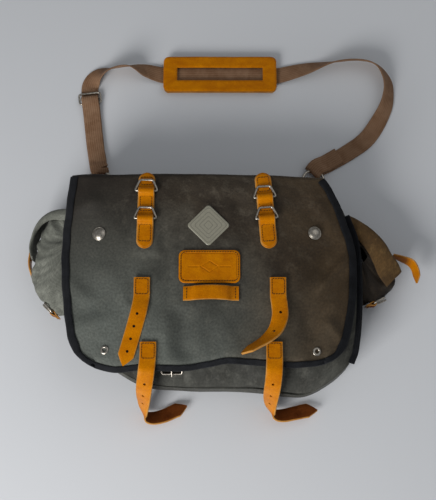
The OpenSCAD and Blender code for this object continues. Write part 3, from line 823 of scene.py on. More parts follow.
def back_rule(u, v):
    p = body_plan(u, v) * 0.985
    return p.x, p.y, BACK_T


back = thicken(grid_mesh("body_back_sheet", 60, 50, back_rule, (370, 280)), BACK_T)
done(back, body_canvas, body="bag", nodes=["back_panel"])
# the seam's tape shows on the right side, between these steps of the wall
TAPED = range(153, 206, 4)
keys = []
for k in TAPED:
    p, n = wall_track[k], inward(wall_track, k)
    keys.append((*(p.xy - n.xy * 2.5), body_height(p.x, p.y) + 0.6, *(-n.xy * 0.92), 0.38))
seam = ribbon("body_seam_tape", keys, 9, 2.6, rows=120, two_sided=True)
done(seam, tape, body="bag", nodes=["gusset_binding"])
print("body shell in four pieces")

# %% [markdown]
# ## Pockets on the front and inside
# A patch pocket is a flat sheet sewn on at three sides, so it stands off the panel in the middle
# and comes down to it at the seams. Its top stays open.


# %% Front pocket and inner pocket
POCKET_T = 1.4


def pocket_sheet(name, low, high, stand, ground, rows, cols):
    """A pocket between two corners of its plan, which stands off the ground by its stand."""
    def rule(u, v):
        x = low[0] + (high[0] - low[0]) * u
        y = high[1] + (low[1] - high[1]) * v
        to_seam = min(x - low[0], high[0] - x, y - low[1])
        rise = 1.5 + stand * (1 - (1 - min(1, to_seam / 9)) ** 2.4)
        return x, y, ground(x, y) + rise + 0.5 * wave(x, y, 15, 7.7)
    size = (high[0] - low[0], high[1] - low[1])
    return thicken(grid_mesh(name, rows, cols, rule, size), POCKET_T, 1)


INNER_POCKET_Z = 4.2
front_pocket = pocket_sheet("front_pocket_sheet", (-34, -160), (98, -14), 4, body_height, 66, 80)
done(front_pocket, body_canvas, body="bag", nodes=["front_pocket"])
inner_pocket = pocket_sheet("inner_pocket_sheet", (-90, -110), (100, 40), 5,
                            lambda x, y: INNER_POCKET_Z, 40, 40)
done(inner_pocket, body_canvas, body="bag", nodes=["inner_pocket"])
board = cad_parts["base_stiffener"]
board.data.materials.clear()
board.data.materials.append(tape)
print("pockets sewn on")

# %% [markdown]
# ## Side pockets
# A side pocket is a puffed pouch: its outline is swept from front to back like a pillow, and the
# side towards the mouth is left open. A lid hangs over the opening, with soft wings at its ends.


# %% Side pouches and lids
POUCH_Z, POUCH_T, POUCH_STEPS = 29, 1.6, 60
LID_FOOT, LID_TOP, LID_T, LID_STEPS = 8, 50, 1.8, 44


def pouch(name, outline, heart, half, cloth, nodes):
    """A pillow as thick as twice its half, whose cross sections shrink towards its heart."""
    track = even(flat_curve(outline), POUCH_STEPS)
    core = Vector((*heart, 0))

    def rule(u, v):
        p = track[round(u * POUCH_STEPS)]
        angle = math.pi * (v - 0.5) * 0.97
        reach = math.cos(angle) ** 0.42
        rise = math.copysign(abs(math.sin(angle)) ** 0.8, angle)
        sag = 4.6 * wave(p.x + 90 * v, p.y, 20, 3.3) + 2.4 * wave(p.x, p.y + 70 * v, 9, 6.1)
        q = core + (p - core) * (reach * (1 + 0.012 * sag))
        return q.x, q.y, POUCH_Z + half * rise + 1.1 * sag * reach

    piece = thicken(grid_mesh(name, POUCH_STEPS, 40, rule, (220, 80)), POUCH_T)
    return done(piece, cloth, body="bag", nodes=nodes)


def lid(name, path, rim, cloth, body, nodes):
    """A lid: a wall along path, whose top turns in towards rim as a soft wing."""
    track, brim = (even(flat_curve(points), LID_STEPS) for points in (path, rim))
    fold = 0.62

    def rule(u, v):
        k = round(u * LID_STEPS)
        p, n = track[k], inward(track, k)
        outwards = n if n.x * p.x > 0 else -n
        if v < fold:
            q = p + outwards * 1.5 * math.sin(math.pi * v / fold)
            z = LID_FOOT + (LID_TOP - LID_FOOT) * v / fold
        else:
            turn = (v - fold) / (1 - fold)
            q = p.lerp(brim[k], turn ** 1.1)
            z = LID_TOP + 2.6 * math.sin(math.pi * turn) ** 0.7 - 2.0 * u * turn
        q = q + outwards * 1.8 * wave(k, v * 14, 9, 2.6) * (0.4 + 0.6 * v)
        return q.x, q.y, z + 1.2 * wave(k, v * 20, 8, 1.1)

    piece = thicken(grid_mesh(name, LID_STEPS, 48, rule, (path_length(track), 62)), LID_T, 0)
    return done(piece, cloth, body=body, nodes=nodes)


# the left pouch wears the pale canvas of painted light, the right one the near-black canvas of
# painted shadow
pouch("side_pouch_left_shell",
      [(-190, 79), (-204, 79), (-216, 74.5), (-225, 66), (-232, 51), (-238.5, 29), (-242, 8),
       (-243, -6), (-240, -24), (-234, -38), (-222, -50), (-208, -59), (-184, -63)],
      (-181, 40), 21.5, lit_side_canvas, ["side_pouch_left"])
pouch("side_pouch_right_shell",
      [(192, 62), (206, 55), (222, 41), (238, 20), (248, 0), (252, -14), (240, -32), (218, -45),
       (204, -46)],
      (200, 26), 16, painted_shadow_canvas, ["side_pouch_right"])
lid("side_lid_left",
    [(-181, 80), (-195, 82), (-208, 81), (-222, 75), (-233, 65), (-241, 51), (-244.5, 38),
     (-244.5, 25), (-243, 15)],
    [(-183, 62), (-195, 66), (-207, 68), (-220, 66), (-231, 59), (-239, 49), (-243, 38),
     (-243.5, 25), (-242, 15)],
    lit_side_canvas, "pocket_lid_left", ["pocket_lid_left"])
lid("side_lid_right",
    [(190, 72), (206, 64.5), (222, 51), (238, 33), (250, 13), (259, -6)],
    [(193, 60), (200, 46), (210, 29), (221, 9), (231, -14), (239, -27)],
    shaded_canvas, "pocket_lid_right", ["pocket_lid_right"])
UP, DOWN = (0, 0, 1), (0, 0, -1)
SIDE_STRAP_W, SIDE_STRAP_T = 17, 2.2
SIDE_STRAPS = {
    "left": ([(-246.5, 32, 29, *DOWN), (-248, 20, 29, *DOWN), (-248.5, 8, 28, *DOWN),
              (-245, -9, 27, *DOWN)], 40),
    "right": ([(253, 21, 29, *UP), (266, 16, 30, 0.1, 0.2, 1), (278, 10, 30, 0.2, 0.3, 0.9),
               (284, -2, 28, 0.3, 0.1, 0.9), (285, -17, 25, 0.3, 0, 0.9)], 60)}
for hand, (keys, rows) in SIDE_STRAPS.items():
    strap = ribbon(f"side_strap_{hand}", keys, SIDE_STRAP_W, SIDE_STRAP_T, rows=rows, end="point")
    done(strap, hide, body=f"pocket_strap_{hand}", nodes=[f"pocket_strap_{hand}"])
print("side pockets closed")

# %% [markdown]
# ## Wire
# Rings and buckles are bent from round wire. A curve with a round bevel runs through their
# corners, each of which is eased by three points in its place, and is then made a mesh.


# %% Wire builder
def eased(points, cut):
    """A closed path whose corners are each cut by this much and rounded with one more point."""
    out = []
    for i, p in enumerate(points):
        before, after = points[i - 1], points[(i + 1) % len(points)]
        a, b = p + (before - p).normalized() * cut, p + (after - p).normalized() * cut
        out += [a, (a + 2 * p + b) / 4, b]
    return out


def wire(name, points, radius, matrix, closed=True):
    """A round wire through the points, as a mesh."""
    bpy.ops.object.select_all(action="DESELECT")
    bpy.ops.curve.primitive_nurbs_path_add()
    piece = bpy.context.object
    piece.name = name
    curve = piece.data
    curve.splines.clear()
    spline = curve.splines.new("POLY")
    spline.points.add(len(points) - 1)
    for target, p in zip(spline.points, points):
        target.co = (*(matrix @ Vector(p) * MM), 1)
    spline.use_cyclic_u = closed
    curve.dimensions = "3D"
    curve.bevel_depth = radius * MM
    curve.bevel_resolution = 3
    curve.use_fill_caps = True
    bpy.ops.object.convert(target="MESH")
    return bpy.context.object


def joined(name, pieces):
    """Several pieces made one."""
    only(pieces[0])
    for piece in pieces:
        piece.select_set(True)
    bpy.ops.object.join()
    bpy.context.object.name = bpy.context.object.data.name = name
    return bpy.context.object


def turned(x, y, z, degrees=0, tip=0, axis="X"):
    """A place at x, y, z that is turned about the vertical, after a tip about one axis."""
    spin = Matrix.Rotation(math.radians(degrees), 4, "Z")
    return Matrix.Translation((x, y, z)) @ spin @ Matrix.Rotation(math.radians(tip), 4, axis)


print("wire builder ready")

# %% [markdown]
# ## Ring patches and lashing rings
# Each patch is a strip of leather with a second strip on top that humps over the rings' base
# bars. The rings are wider at the base than at the top, so a strap that is pulled through them
# pinches.

# %% Ring patches and rings
ring_z = deck + 4.5
ring_base, ring_top, ring_h, ring_r = 30, 17, 15, 1.6
PATCH_W, PATCH_T, STRIP_W, STRIP_T = 22.2, 1.8, 21.4, 1.7
STITCHED = 7.6
# how the upper strip humps over a bar: the distance from the bar and the height above the cloth
HUMP = [(-9, 2.1), (-5.5, 3.9), (-3, 6.7), (0, 7.7), (3, 6.7), (5, 4.1), (7.5, 2.2)]
# middle, lean, and where the upper and lower base bars lie along each patch
PATCHES = {"left": (-84.5, 66.5, -1, 26.5, -11.5), "right": (74.5, 66.5, 4.5, 17.5, -11.5)}
stitch_paths = {"flap": [], "shoulder": []}

for hand, (px, py, lean, upper, lower) in PATCHES.items():
    place = turned(px, py, 0, lean)
    across = place.to_3x3() @ Vector((-1, 0, 0))
    under = [place @ Vector((0, y, 0)) for y in (-51.5, -25, 0, 25, 44, 49, 53.5)]
    # past the fold the patch bends down a little with the cloth
    keys = [(p.x, p.y, deck + 0.9 - max(0, p.y - 111) * 0.35, *across) for p in under]
    base = ribbon(f"ring_patch_{hand}_base", keys, PATCH_W, PATCH_T, rows=110, start="round",
                  end="round")
    done(base, hide, body="flap", nodes=[f"ring_patch_{hand}"])
    rises = [(-49.5, 1.9), (-30, 2.0)] + [(bar + y, z) for bar in (lower, upper) for y, z in HUMP]
    rises += [(46, 1.9), (51.5, 0.6)]
    keys = [(*(place @ Vector((0, y, 0))).xy, deck + z, *across) for y, z in rises]
    top = ribbon(f"ring_patch_{hand}_top", keys, STRIP_W, STRIP_T, rows=160, start="round",
                 end="round")
    done(top, hide, body="flap")
    for level, y in (("upper", upper), ("lower", lower)):
        corners = [Vector(c) for c in ((-ring_base / 2, 0, 0), (ring_base / 2, 0, 0),
                                       (ring_top / 2, ring_h, 0), (-ring_top / 2, ring_h, 0))]
        ring = wire(f"ring_{level}_{hand}_wire", eased(corners, 2.2), ring_r,
                    place @ Matrix.Translation((0, y, ring_z)))
        done(ring, nickel, body=f"ring_{level}_{hand}",
             nodes=[f"ring_{level}_{hand}"])
    for low, high in ((-42, lower - 8), (lower + 11, upper - 7), (upper + 9, 46)):
        loop = [(-STITCHED, low), (STITCHED, low), (STITCHED, high), (-STITCHED, high),
                (-STITCHED, low)]
        stitch_paths["flap"].append([place @ Vector((x, y, deck + 2.9)) for x, y in loop])
print("two patches and four rings")

# %% [markdown]
# ## Flap straps
# Each strap is one piece, sewn down at its upper end, that then runs free. The upper ones lie on
# the flap. The lower ones hang over its edge, reach the surface and roll onto their flesh side.

# %% Flap straps
ACROSS = (1, 0, 0)
STRAP_W, STRAP_T = 21.5, 2.8
SEWN_LIFT = 1.4
HOLE_R, CUTTER_L = 1.9, 9


def sewn(x, *ys):
    """Keys of a strap where it lies on the reinforced cloth."""
    return [(x, y, deck + SEWN_LIFT, *ACROSS) for y in ys]


def on_flap(x, y, lift, across=ACROSS):
    """A key of a strap that lies this far above the flap's waves."""
    return (x, y, flap_height(x, y) + lift, *across)


# each strap's keys, its rows, and its holes as a centre and the direction that the hole points
FLAP_STRAPS = {
    "upper_strap_left": (
        sewn(-87.5, -24, -36, -49)
        + [on_flap(-90, -66, 2.8), on_flap(-94, -82, 2.4), on_flap(-99, -100, 2.4),
           on_flap(-104, -118, 2.8), on_flap(-110, -138, 4.2)],
        120,
        [((-92.5 - 4 * i, -72 - 16 * i, flap_height(-92.5 - 4 * i, -72 - 16 * i) + 2.6), UP)
         for i in range(4)]),
    "upper_strap_right": (
        sewn(89, -24, -36, -49)
        + [on_flap(90.5, -62, 3.0, (1, 0.04, 0.02)), on_flap(90.5, -76, 4.0, (0.97, -0.15, 0.15)),
           on_flap(85, -92, 6.2, (0.75, -0.4, 0.5)), on_flap(74, -104, 8.5, (0.5, -0.45, 0.75)),
           on_flap(62, -112, 9.0, (0.34, -0.4, 0.85)), on_flap(51, -118, 8.5, (0.3, -0.4, 0.86)),
           on_flap(41, -124, 8, (0.3, -0.4, 0.86))],
        130,
        [((91.5, -70, flap_height(91, -70) + 3.4), UP),
         ((83, -95, flap_height(83, -95) + 6.6), (-0.45, 0.2, 0.87))]),
    "lower_strap_left": (
        sewn(-78, -108, -120) + sewn(-78.5, -132)
        + [(-79.5, -143, deck + 1.2, *ACROSS), (-81, -152, deck - 4, 1, -0.02, 0.05),
           (-83.5, -164, 78, 0.96, -0.15, 0.15), (-86, -174, 56, 0.84, -0.35, 0.35),
           (-88, -182, 34, 0.68, -0.5, 0.5), (-89, -190, 18, 0.48, -0.6, 0.62),
           (-86, -196.5, 12, 0.2, -0.7, 0.68), (-76, -199, 10.5, 0, -0.8, 0.6),
           (-62, -196, 9.5, 0, -0.86, 0.5), (-46, -189, 8.5, 0.1, -0.88, 0.45),
           (-31, -182.5, 7, 0.15, -0.88, 0.42)],
        190,
        [((-82.5, -160, 83.5), (0, -0.8, 0.6)), ((-85.7, -172.5, 60), (-0.3, -0.87, 0.35)),
         ((-87.6, -180.5, 38), (-0.5, -0.8, 0.25))]),
    "lower_strap_right": (
        sewn(83, -108, -120, -132)
        + [(82.5, -143, deck + 1.2, *ACROSS), (82, -152, deck - 4, 1, -0.02, 0.05),
           (81, -164, 76, 0.96, -0.15, 0.15), (80, -174, 54, 0.84, -0.35, 0.35),
           (80, -182, 32, 0.68, -0.5, 0.5), (81.5, -189, 17, 0.48, -0.6, 0.62),
           (87, -194.5, 12.5, 0.2, -0.7, 0.68), (99, -195.5, 11, 0, -0.82, 0.58),
           (116, -192, 10, 0, -0.86, 0.5), (131, -189, 9, 0.08, -0.88, 0.45),
           (145, -188.5, 8, 0.08, -0.88, 0.45)],
        190,
        [((81.3, -160, 82), (0, -0.8, 0.6)), ((80.1, -172.5, 58), (-0.3, -0.87, 0.35)),
         ((80, -180.5, 36), (-0.5, -0.8, 0.25))])}
# where each strap's sewn part ends, and how far above that its sewing reaches
HINGES = {"upper_strap_left": (-87.5, -49, 23), "upper_strap_right": (89, -49, 23),
          "lower_strap_left": (-78, -132, 22), "lower_strap_right": (83, -132, 22)}


def punch(piece, holes):
    """Round holes through a strap, each cut by a cylinder that stands on it."""
    for centre, way in holes:
        bpy.ops.object.select_all(action="DESELECT")
        bpy.ops.mesh.primitive_cylinder_add(vertices=20, radius=HOLE_R * MM, depth=CUTTER_L * MM,
                                            location=Vector(centre) * MM)
        cutter = bpy.context.object
        cutter.rotation_mode = "QUATERNION"
        cutter.rotation_quaternion = Vector(way).to_track_quat("Z", "Y")
        bpy.context.view_layer.update()
        modify(piece, "BOOLEAN", operation="DIFFERENCE", object=cutter, solver="EXACT")
        bpy.data.objects.remove(cutter)


for name, (keys, rows, holes) in FLAP_STRAPS.items():
    strap = ribbon(f"{name}_leather", keys, STRAP_W, STRAP_T, rows=rows, end="point")
    punch(strap, holes)
    x, y, reach = HINGES[name]
    done(strap, hide, blend=("flap", name, (x, y + 3, deck), (x, y - 6, deck)),
         nodes=[name, name.replace("strap", "base")])
    low, high = y + 3, y + reach
    stitch_paths["flap"].append([Vector((x + dx, dy, deck + 2.9)) for dx, dy in (
        (-8, high), (8, high), (8, low), (-8, low), (-8, high))])
print("four straps")

# %% [markdown]
# ## Label, reflector, lamp loop, rivets and eyelets
# The label is a thick rounded patch with a pressed border and a plain pressed ornament. A rounded
# rectangle is filled with rings that shrink towards its middle, so every ring follows the edge.


# %% Patches on the flap
def rounded_point(a, b, w, h, r):
    """The point of a rounded rectangle's nested rings at shares a, b, each from -1 to 1."""
    q = max(abs(a), abs(b)) or 1e-9
    x, y = a / q * w / 2, b / q * h / 2
    cx, cy = w / 2 - r, h / 2 - r
    if abs(x) > cx and abs(y) > cy:
        dx, dy = abs(x) - cx, abs(y) - cy
        k = r / math.hypot(dx, dy)
        x, y = math.copysign(cx + dx * k, x), math.copysign(cy + dy * k, y)
    return x * q, y * q, q


def patch_sheet(name, w, h, r, place, height, thick, rows, cols, relief=None):
    """A rounded patch that lies at a height and is eased over along its rim."""
    def rule(u, v):
        x, y, q = rounded_point(2 * u - 1, 2 * v - 1, w, h, r)
        p = place @ Vector((x, y, 0))
        rounding = 0.7 * max(0, (q - 0.955) / 0.045) ** 2
        return p.x, p.y, height(p.x, p.y) + thick - rounding + (relief(x, y) if relief else 0)
    return thicken(grid_mesh(name, rows, cols, rule, (w, h)), thick)


LABEL_W, LABEL_H, LABEL_R, LABEL_T, LABEL_Y = 80, 44, 8, 2.6, -9.5
SEAM_INSET = 2.7


def label_relief(x, y):
    """A pressed groove round the label, and a lozenge between two short lines."""
    inset = 4.2
    w, h, r = LABEL_W / 2 - inset, LABEL_H / 2 - inset, max(0.5, LABEL_R - inset)
    dx, dy = abs(x) - (w - r), abs(y) - (h - r)
    ring_gap = abs(math.hypot(max(dx, 0), max(dy, 0)) + min(max(dx, dy), 0) - r)
    groove = math.exp(-(ring_gap / 0.55) ** 2)
    lozenge = abs(abs(x) / 1.5 + abs(y) - 7.5)
    ornament = math.exp(-(lozenge / 0.8) ** 2) + (abs(abs(x) - 21) < 7) * math.exp(-(y / 0.7) ** 2)
    return -0.55 * min(1, groove + ornament) + 0.12 * wave(x, y, 6, 3)


def rounded_loop(cx, cy, w, h, r, z):
    """Points round a rounded rectangle, for its stitching."""
    shares = ([(-1 + i / 20, -1) for i in range(40)] + [(1, -1 + i / 10) for i in range(20)]
              + [(1 - i / 20, 1) for i in range(40)] + [(-1, 1 - i / 10) for i in range(21)])
    points = [rounded_point(a, b, w, h, r) for a, b in shares]
    return [Vector((cx + x, cy + y, z)) for x, y, q in points]


label = patch_sheet("label_leather", LABEL_W, LABEL_H, LABEL_R, turned(0, LABEL_Y, 0),
                    lambda x, y: deck, LABEL_T, 170, 96, label_relief)
done(label, grain, body="flap", nodes=["label"])
stitch_paths["flap"].append(rounded_loop(0, LABEL_Y, LABEL_W - 2 * SEAM_INSET,
                                         LABEL_H - 2 * SEAM_INSET, 6, deck + LABEL_T + 0.15))
reflector = patch_sheet("reflector_film", FILM_SIDE, FILM_SIDE, 4.5, turned(-1.5, 46.5, 0, 45),
                        lambda x, y: deck + 0.2, 1.2, 60, 60)
done(reflector, film, body="flap", nodes=["reflector"])
LOOP_W, LOOP_T = 19.5, 2.2
tab_y = -45
tab = ribbon("lamp_loop_leather", [(x, tab_y + dy, deck + z, 0, -1, 0.05) for x, dy, z in (
    (38, 0, 1.3), (33, 0, 1.4), (28, 0, 2.6), (22, 0.2, 5.6), (12, 0.6, 7.0), (2, 0.8, 7.2),
    (-8, 0.6, 7.0), (-18, 0.2, 5.6), (-24, 0, 2.6), (-29, 0, 1.4), (-34, 0, 1.3))],
    LOOP_W, LOOP_T, rows=110)
done(tab, hide, body="flap", nodes=["light_tab"])
for x in (33.5, -29.5):
    stitch_paths["flap"].append([Vector((x, tab_y - 7.5, deck + 2.8)),
                                 Vector((x, tab_y + 7.5, deck + 2.8))])
print("label, film and loop")

# %% Rivets and eyelets
LATHE_STEPS = 40


def lathe(name, profile, matrix):
    """A turned piece: a profile of radii and heights that goes once round."""
    def rule(u, v):
        r, z = profile[round(v * (len(profile) - 1))]
        return matrix @ Vector((r * math.cos(2 * math.pi * u), r * math.sin(2 * math.pi * u), z))
    piece = grid_mesh(name, LATHE_STEPS, len(profile) - 1, rule, (30, 20))
    return edit(piece, (bpy.ops.mesh.remove_doubles, {"threshold": NO_GAP}),
                (bpy.ops.mesh.normals_make_consistent, {"inside": False}))


def arch_lean(x):
    """How far the front's arch leans at x, in degrees."""
    return math.degrees(math.atan((arch(x + 1) - arch(x - 1)) / 2))


dome = [(0, -5.6), (5, -5.6), (5, -4.2), (2.2, -4.2), (2.2, 1.0), (8.4, 1.0), (9, 1.5), (9, 2.3),
        (8.5, 2.7), (7.9, 2.5), (7.4, 2.9), (6.6, 3.6), (5.2, 4.4), (3.6, 4.95), (1.8, 5.25),
        (0, 5.35)]
rivets = [lathe(f"rivet_{i}", dome, turned(x, y, arch(x) + flap_lift, 0, -arch_lean(x), "Y"))
          for i, (x, y) in enumerate(RIVETS)]
done(joined("rivets_domed", rivets), nickel, body="flap", nodes=["rivets"])
eye = [(2.5, -2.4), (2.9, -2.6), (5.2, -2.6), (5.6, -2.2), (5.2, -1.8), (3.2, -1.8), (3.2, 1.8),
       (5.3, 1.8), (5.6, 2.1), (5.2, 2.5), (4.2, 2.9), (3.3, 2.9), (2.6, 2.5), (2.5, 2.0),
       (2.5, -2.4)]
eyelets = [lathe(f"eyelet_{i}", eye, turned(x, y, arch(x) + flap_lift - 1, 0, -arch_lean(x), "Y"))
           for i, (x, y) in enumerate(EYELETS)]
done(joined("eyelets_flap", eyelets), nickel, body="flap", nodes=["grommets"])
print("rivets and eyelets")

# %% [markdown]
# ## Shoulder strap
# The webbing leaves the left D-ring, runs under the slider and through the pad, twists onto its
# edge round the corner and comes flat again to the right D-ring, where its end is folded round
# and sewn. The second ply runs from the left D-ring back to the slider.

# %% Webbing
RING_AXIS_Y, RING_AXIS_Z, D_R = 138, 7, 15
WEBBING_W, WEBBING_T = 25, 2.1
DRINGS = {"left": -159, "right": 148}
left_x = DRINGS["left"]
apex = RING_AXIS_Y + D_R


def lying(x, y, z=1.6, tilt=0.0, way=(1, 0)):
    """A key of webbing that lies on the surface, or stands up on its edge as tilt goes to 1."""
    flat_share = 1 - 0.8 * tilt
    rise = 0.5 * WEBBING_W * tilt / math.hypot(flat_share, tilt)
    return (x, y, z + rise, way[0] * flat_share, way[1] * flat_share, tilt)


def upwards(x, y, z, way=(0.99, 0.13)):
    """A key of webbing that runs away from the bag at the left, level across."""
    return (x, y, z, *way, 0)


def webbing_run(name, keys, rows):
    return ribbon(name, keys, WEBBING_W, WEBBING_T, rows=rows, two_sided=True)


ROUND_RING = (1, 0.1)
main = webbing_run("webbing_left_ply", [
    upwards(left_x, apex + 2.5, 10.4, ROUND_RING), upwards(left_x, apex, 10.9, ROUND_RING),
    upwards(left_x, apex - 3.6, 9, ROUND_RING), upwards(left_x, apex - 4, 5.6, ROUND_RING),
    upwards(left_x - 0.4, apex - 0.5, 3.0, ROUND_RING), upwards(-162.4, 160, 1.8, (1, 0.13)),
    lying(-167.4, 190, way=(0.99, 0.13)), lying(-174.8, 246, way=(0.99, 0.13)),
    lying(-178.6, 274, way=(0.99, 0.08)), lying(-177.8, 289, way=(0.95, -0.25)),
    lying(-168, 302, 1.6, 0.32, (0.5, -0.8)), lying(-148, 310, 1.6, 0.75, (0.3, -0.9)),
    lying(-122, 314.5, 1.6, 0.8, (0.1, -1)), lying(-96, 310, 1.8, 0.3, (-0.2, -1)),
    lying(-72, 304, 3.2, 0, (-0.1, -1)), lying(-60, 303, 4, 0, (0, -1))], 260)
done(main, webbing, body="shoulder", nodes=["webbing_left"])
ply = webbing_run("webbing_upper_ply", [
    upwards(left_x, apex + 2, 10.3, ROUND_RING), upwards(-161.8, 161, 8.6, (1, 0.13)),
    upwards(-163.4, 170, 5.2, (1, 0.13)), upwards(-167.6, 191, 4.2), upwards(-173.2, 232, 4.4),
    upwards(-175.4, 249, 6.0), upwards(-176.8, 258, 8.0), upwards(-177.8, 265, 8.2),
    upwards(-178.3, 268.4, 6.4), upwards(-178.2, 267.6, 4.4)], 150)
done(ply, webbing, blend=("shoulder", "slider", (-163, 165, 5), (-174, 235, 5)),
     nodes=["webbing_return", "webbing_stub"])
through = webbing_run("webbing_under_pad",
                      [(x, 303, 4.1, 0, -1, 0) for x in (-66, -30, 14, 60, 95)], 120)
done(through, webbing, body="shoulder", nodes=["webbing_pad"])
right = webbing_run("webbing_right_ply", [
    lying(88, 303, 4, 0, (0, -1)), lying(102, 303.5, 2.6, 0.05, (0.1, -1)),
    lying(140, 312, 1.6, 0.35, (0.25, -1)), lying(184, 321, 1.6, 0.8, (0.1, -1)),
    lying(222, 324, 1.6, 0.8, (-0.1, -1)), lying(247, 316, 1.6, 0.72, (-0.5, -0.8)),
    lying(261, 294, 1.6, 0.6, (-0.9, -0.4)), lying(262, 270, 1.6, 0.55, (-1, 0.1)),
    lying(254, 243, 1.6, 0.4, (-0.95, 0.3)), lying(230, 205, 1.6, 0.12, (-0.75, 0.65)),
    lying(200, 182, 1.6, 0, (-0.55, 0.8)), lying(171, 165, 1.8, 0, (-0.5, 0.85)),
    (154, 156.5, 3.2, -0.6, 0.8, 0), (148.5, apex - 2, 4.6, -0.7, 0.7, 0),
    (147, apex - 4.6, 7.2, -0.7, 0.7, 0), (148.5, apex - 2, 10.4, -0.7, 0.7, 0),
    (155.5, 158.5, 9.6, -0.6, 0.8, 0), (169, 166, 4.9, -0.5, 0.85, 0),
    (187, 177, 4.0, -0.5, 0.85, 0)], 320)
done(right, webbing, body="shoulder", nodes=["webbing_right"])
print("webbing in four runs")

# %% D-rings and slider
D_WIRE_R, SLIDER_WIRE_R, SLIDER_BAR_R = 2, 1.5, 1.4
SLIDER_L, SLIDER_W = 15.6, 8
ARC_STEPS = 24
angles = [math.pi * i / ARC_STEPS for i in range(ARC_STEPS + 1)]
arc = [Vector((D_R * math.cos(a), D_R * math.sin(a), 0)) for a in angles]
for hand, x in DRINGS.items():
    dring = wire(f"dring_{hand}_wire", arc, D_WIRE_R, turned(x, RING_AXIS_Y, RING_AXIS_Z))
    done(dring, nickel, body="shoulder", nodes=[f"dring_{hand}"])
place = turned(-178, 266, 4.7, 7.6)
corners = [Vector((x, y, 0)) for x, y in ((-SLIDER_L, -SLIDER_W), (SLIDER_L, -SLIDER_W),
                                          (SLIDER_L, SLIDER_W), (-SLIDER_L, SLIDER_W))]
frame_wire = wire("slider_outer", eased(corners, 3), SLIDER_WIRE_R, place)
bar_ends = [Vector((-15, 0, 0)), Vector((15, 0, 0))]
bar = wire("slider_bar", bar_ends, SLIDER_BAR_R, place, closed=False)
done(joined("slider_wire", [frame_wire, bar]), nickel, body="slider",
     nodes=["slider_frame"])
print("D-rings and slider")

# %% [markdown]
# ## Shoulder pad
# The pad is two pieces of leather sewn round the webbing, the upper one cut out in the middle so
# that the webbing shows. Its face is a ring of leather between two rounded rectangles.

# %% Shoulder pad
PAD_L, PAD_W, PAD_R, PAD_T, PAD_TOP = 164, 52, 6, 2.8, 8.4
WINDOW_L, WINDOW_W, WINDOW_R = 130, 23.5, 3
pad_x, pad_y = 14, 303


def pad_rule(u, v):
    """Round the pad with u, and from its window's edge to its outer edge with v."""
    angle = 2 * math.pi * u
    a, b = math.cos(angle), math.sin(angle)
    q = max(abs(a), abs(b))
    inner = rounded_point(a / q, b / q, WINDOW_L, WINDOW_W, WINDOW_R)
    outer = rounded_point(a / q, b / q, PAD_L, PAD_W, PAD_R)
    x, y = inner[0] + (outer[0] - inner[0]) * v, inner[1] + (outer[1] - inner[1]) * v
    rounding = 0.9 * max(abs(2 * v - 1) - 0.86, 0) / 0.14
    z = PAD_TOP - rounding + 0.25 * wave(x, y, 18, 4)
    return pad_x + x, pad_y + y + 0.6 * wave(x, 0, 60, 2), z


pad = grid_mesh("pad_face_leather", 320, 20, pad_rule, (400, 14))
edit(pad, (bpy.ops.mesh.remove_doubles, {"threshold": NO_GAP}))
thicken(pad, PAD_T)
done(pad, grain, body="shoulder", nodes=["pad_leather"])
backing = patch_sheet("pad_backing_leather", PAD_L + 2, PAD_W + 2, PAD_R + 1,
                      turned(pad_x, pad_y, 0), lambda x, y: 0.7, 2.4, 90, 40)
done(backing, edge, body="shoulder", nodes=["pad_backing"])
for w, h in ((PAD_L - 7, PAD_W - 7), (WINDOW_L + 6, WINDOW_W + 6)):
    stitch_paths["shoulder"].append(rounded_loop(pad_x, pad_y, w, h, 4, PAD_TOP + 0.1))
print("pad done")

# %% [markdown]
# ## Leather tabs and buckles
# Each buckle is a wire frame and a prong that share a bar, held by a leather tab folded round it.
# The tab is a strap whose path goes once round the bar, and the prong's knuckle sits inside its
# fold.


# %% Tabs and buckles
TAB_T = 1.7
BAR_R = 1.5
PRONG_R, KNUCKLE_R, KNUCKLE_WIRE_R = 1.1, 2.6, 0.95
KNUCKLE = [math.radians(20 + 36 * i) for i in range(10)]


def buckle_tab(name, place, width, tail):
    """A strap that comes up the bag, goes round the bar and lies back on itself for its tail."""
    across = place.to_3x3() @ Vector((1, 0, 0))
    r = BAR_R + 1.2
    path = [(tail, -2.1), (6, -2.1), (2.6, -2.5), (0, -r), (-r * 0.75, -r * 0.7), (-r, 0),
            (-r * 0.75, r * 0.7), (0, r), (2.6, 1.4), (6, -0.2), (tail - 2, -0.4)]
    keys = [(*(place @ Vector((0, y, z))), *across) for y, z in path]
    return ribbon(name, keys, width, TAB_T, rows=70)


# the width and length of a buckle's frame, and the width of its tab
FRONT_SIZE, SIDE_SIZE = (27, 20, 19), (23, 16, 15.5)


def buckle(tag, node, place, size, tail):
    """A buckle whose bar lies at its place and its frame below that, with its prong and tab."""
    width, length, tab_width = size
    corners = [Vector(c) for c in ((-width / 2, 0, 0), (width / 2, 0, 0), (width / 2, -length, 0),
                                   (-width / 2, -length, 0))]
    ring = wire(f"buckle_{tag}_wire", eased(corners, 2.5), BAR_R, place)
    done(ring, nickel, body=f"buckle_{tag}", nodes=[f"buckle_{tag}"])
    knuckle = [Vector((0, KNUCKLE_R * math.cos(a), KNUCKLE_R * math.sin(a))) for a in KNUCKLE]
    needle = [Vector((0, y, z)) for y, z in ((-2.2, 1.4), (-6, 2.3), (-length * 0.6, 2.9),
                                             (-length - 1, 3.3), (-length - 2.6, 2.9))]
    prong = joined(f"prong_{tag}_wire", [wire("knuckle", knuckle, KNUCKLE_WIRE_R, place),
                                         wire("needle", needle, PRONG_R, place, closed=False)])
    done(prong, nickel, body=f"prong_{tag}", nodes=[f"prong_{tag}"])
    tab_piece = buckle_tab(f"tab_{tag}_leather", place, tab_width, tail)
    done(tab_piece, hide, body="bag", nodes=[node])


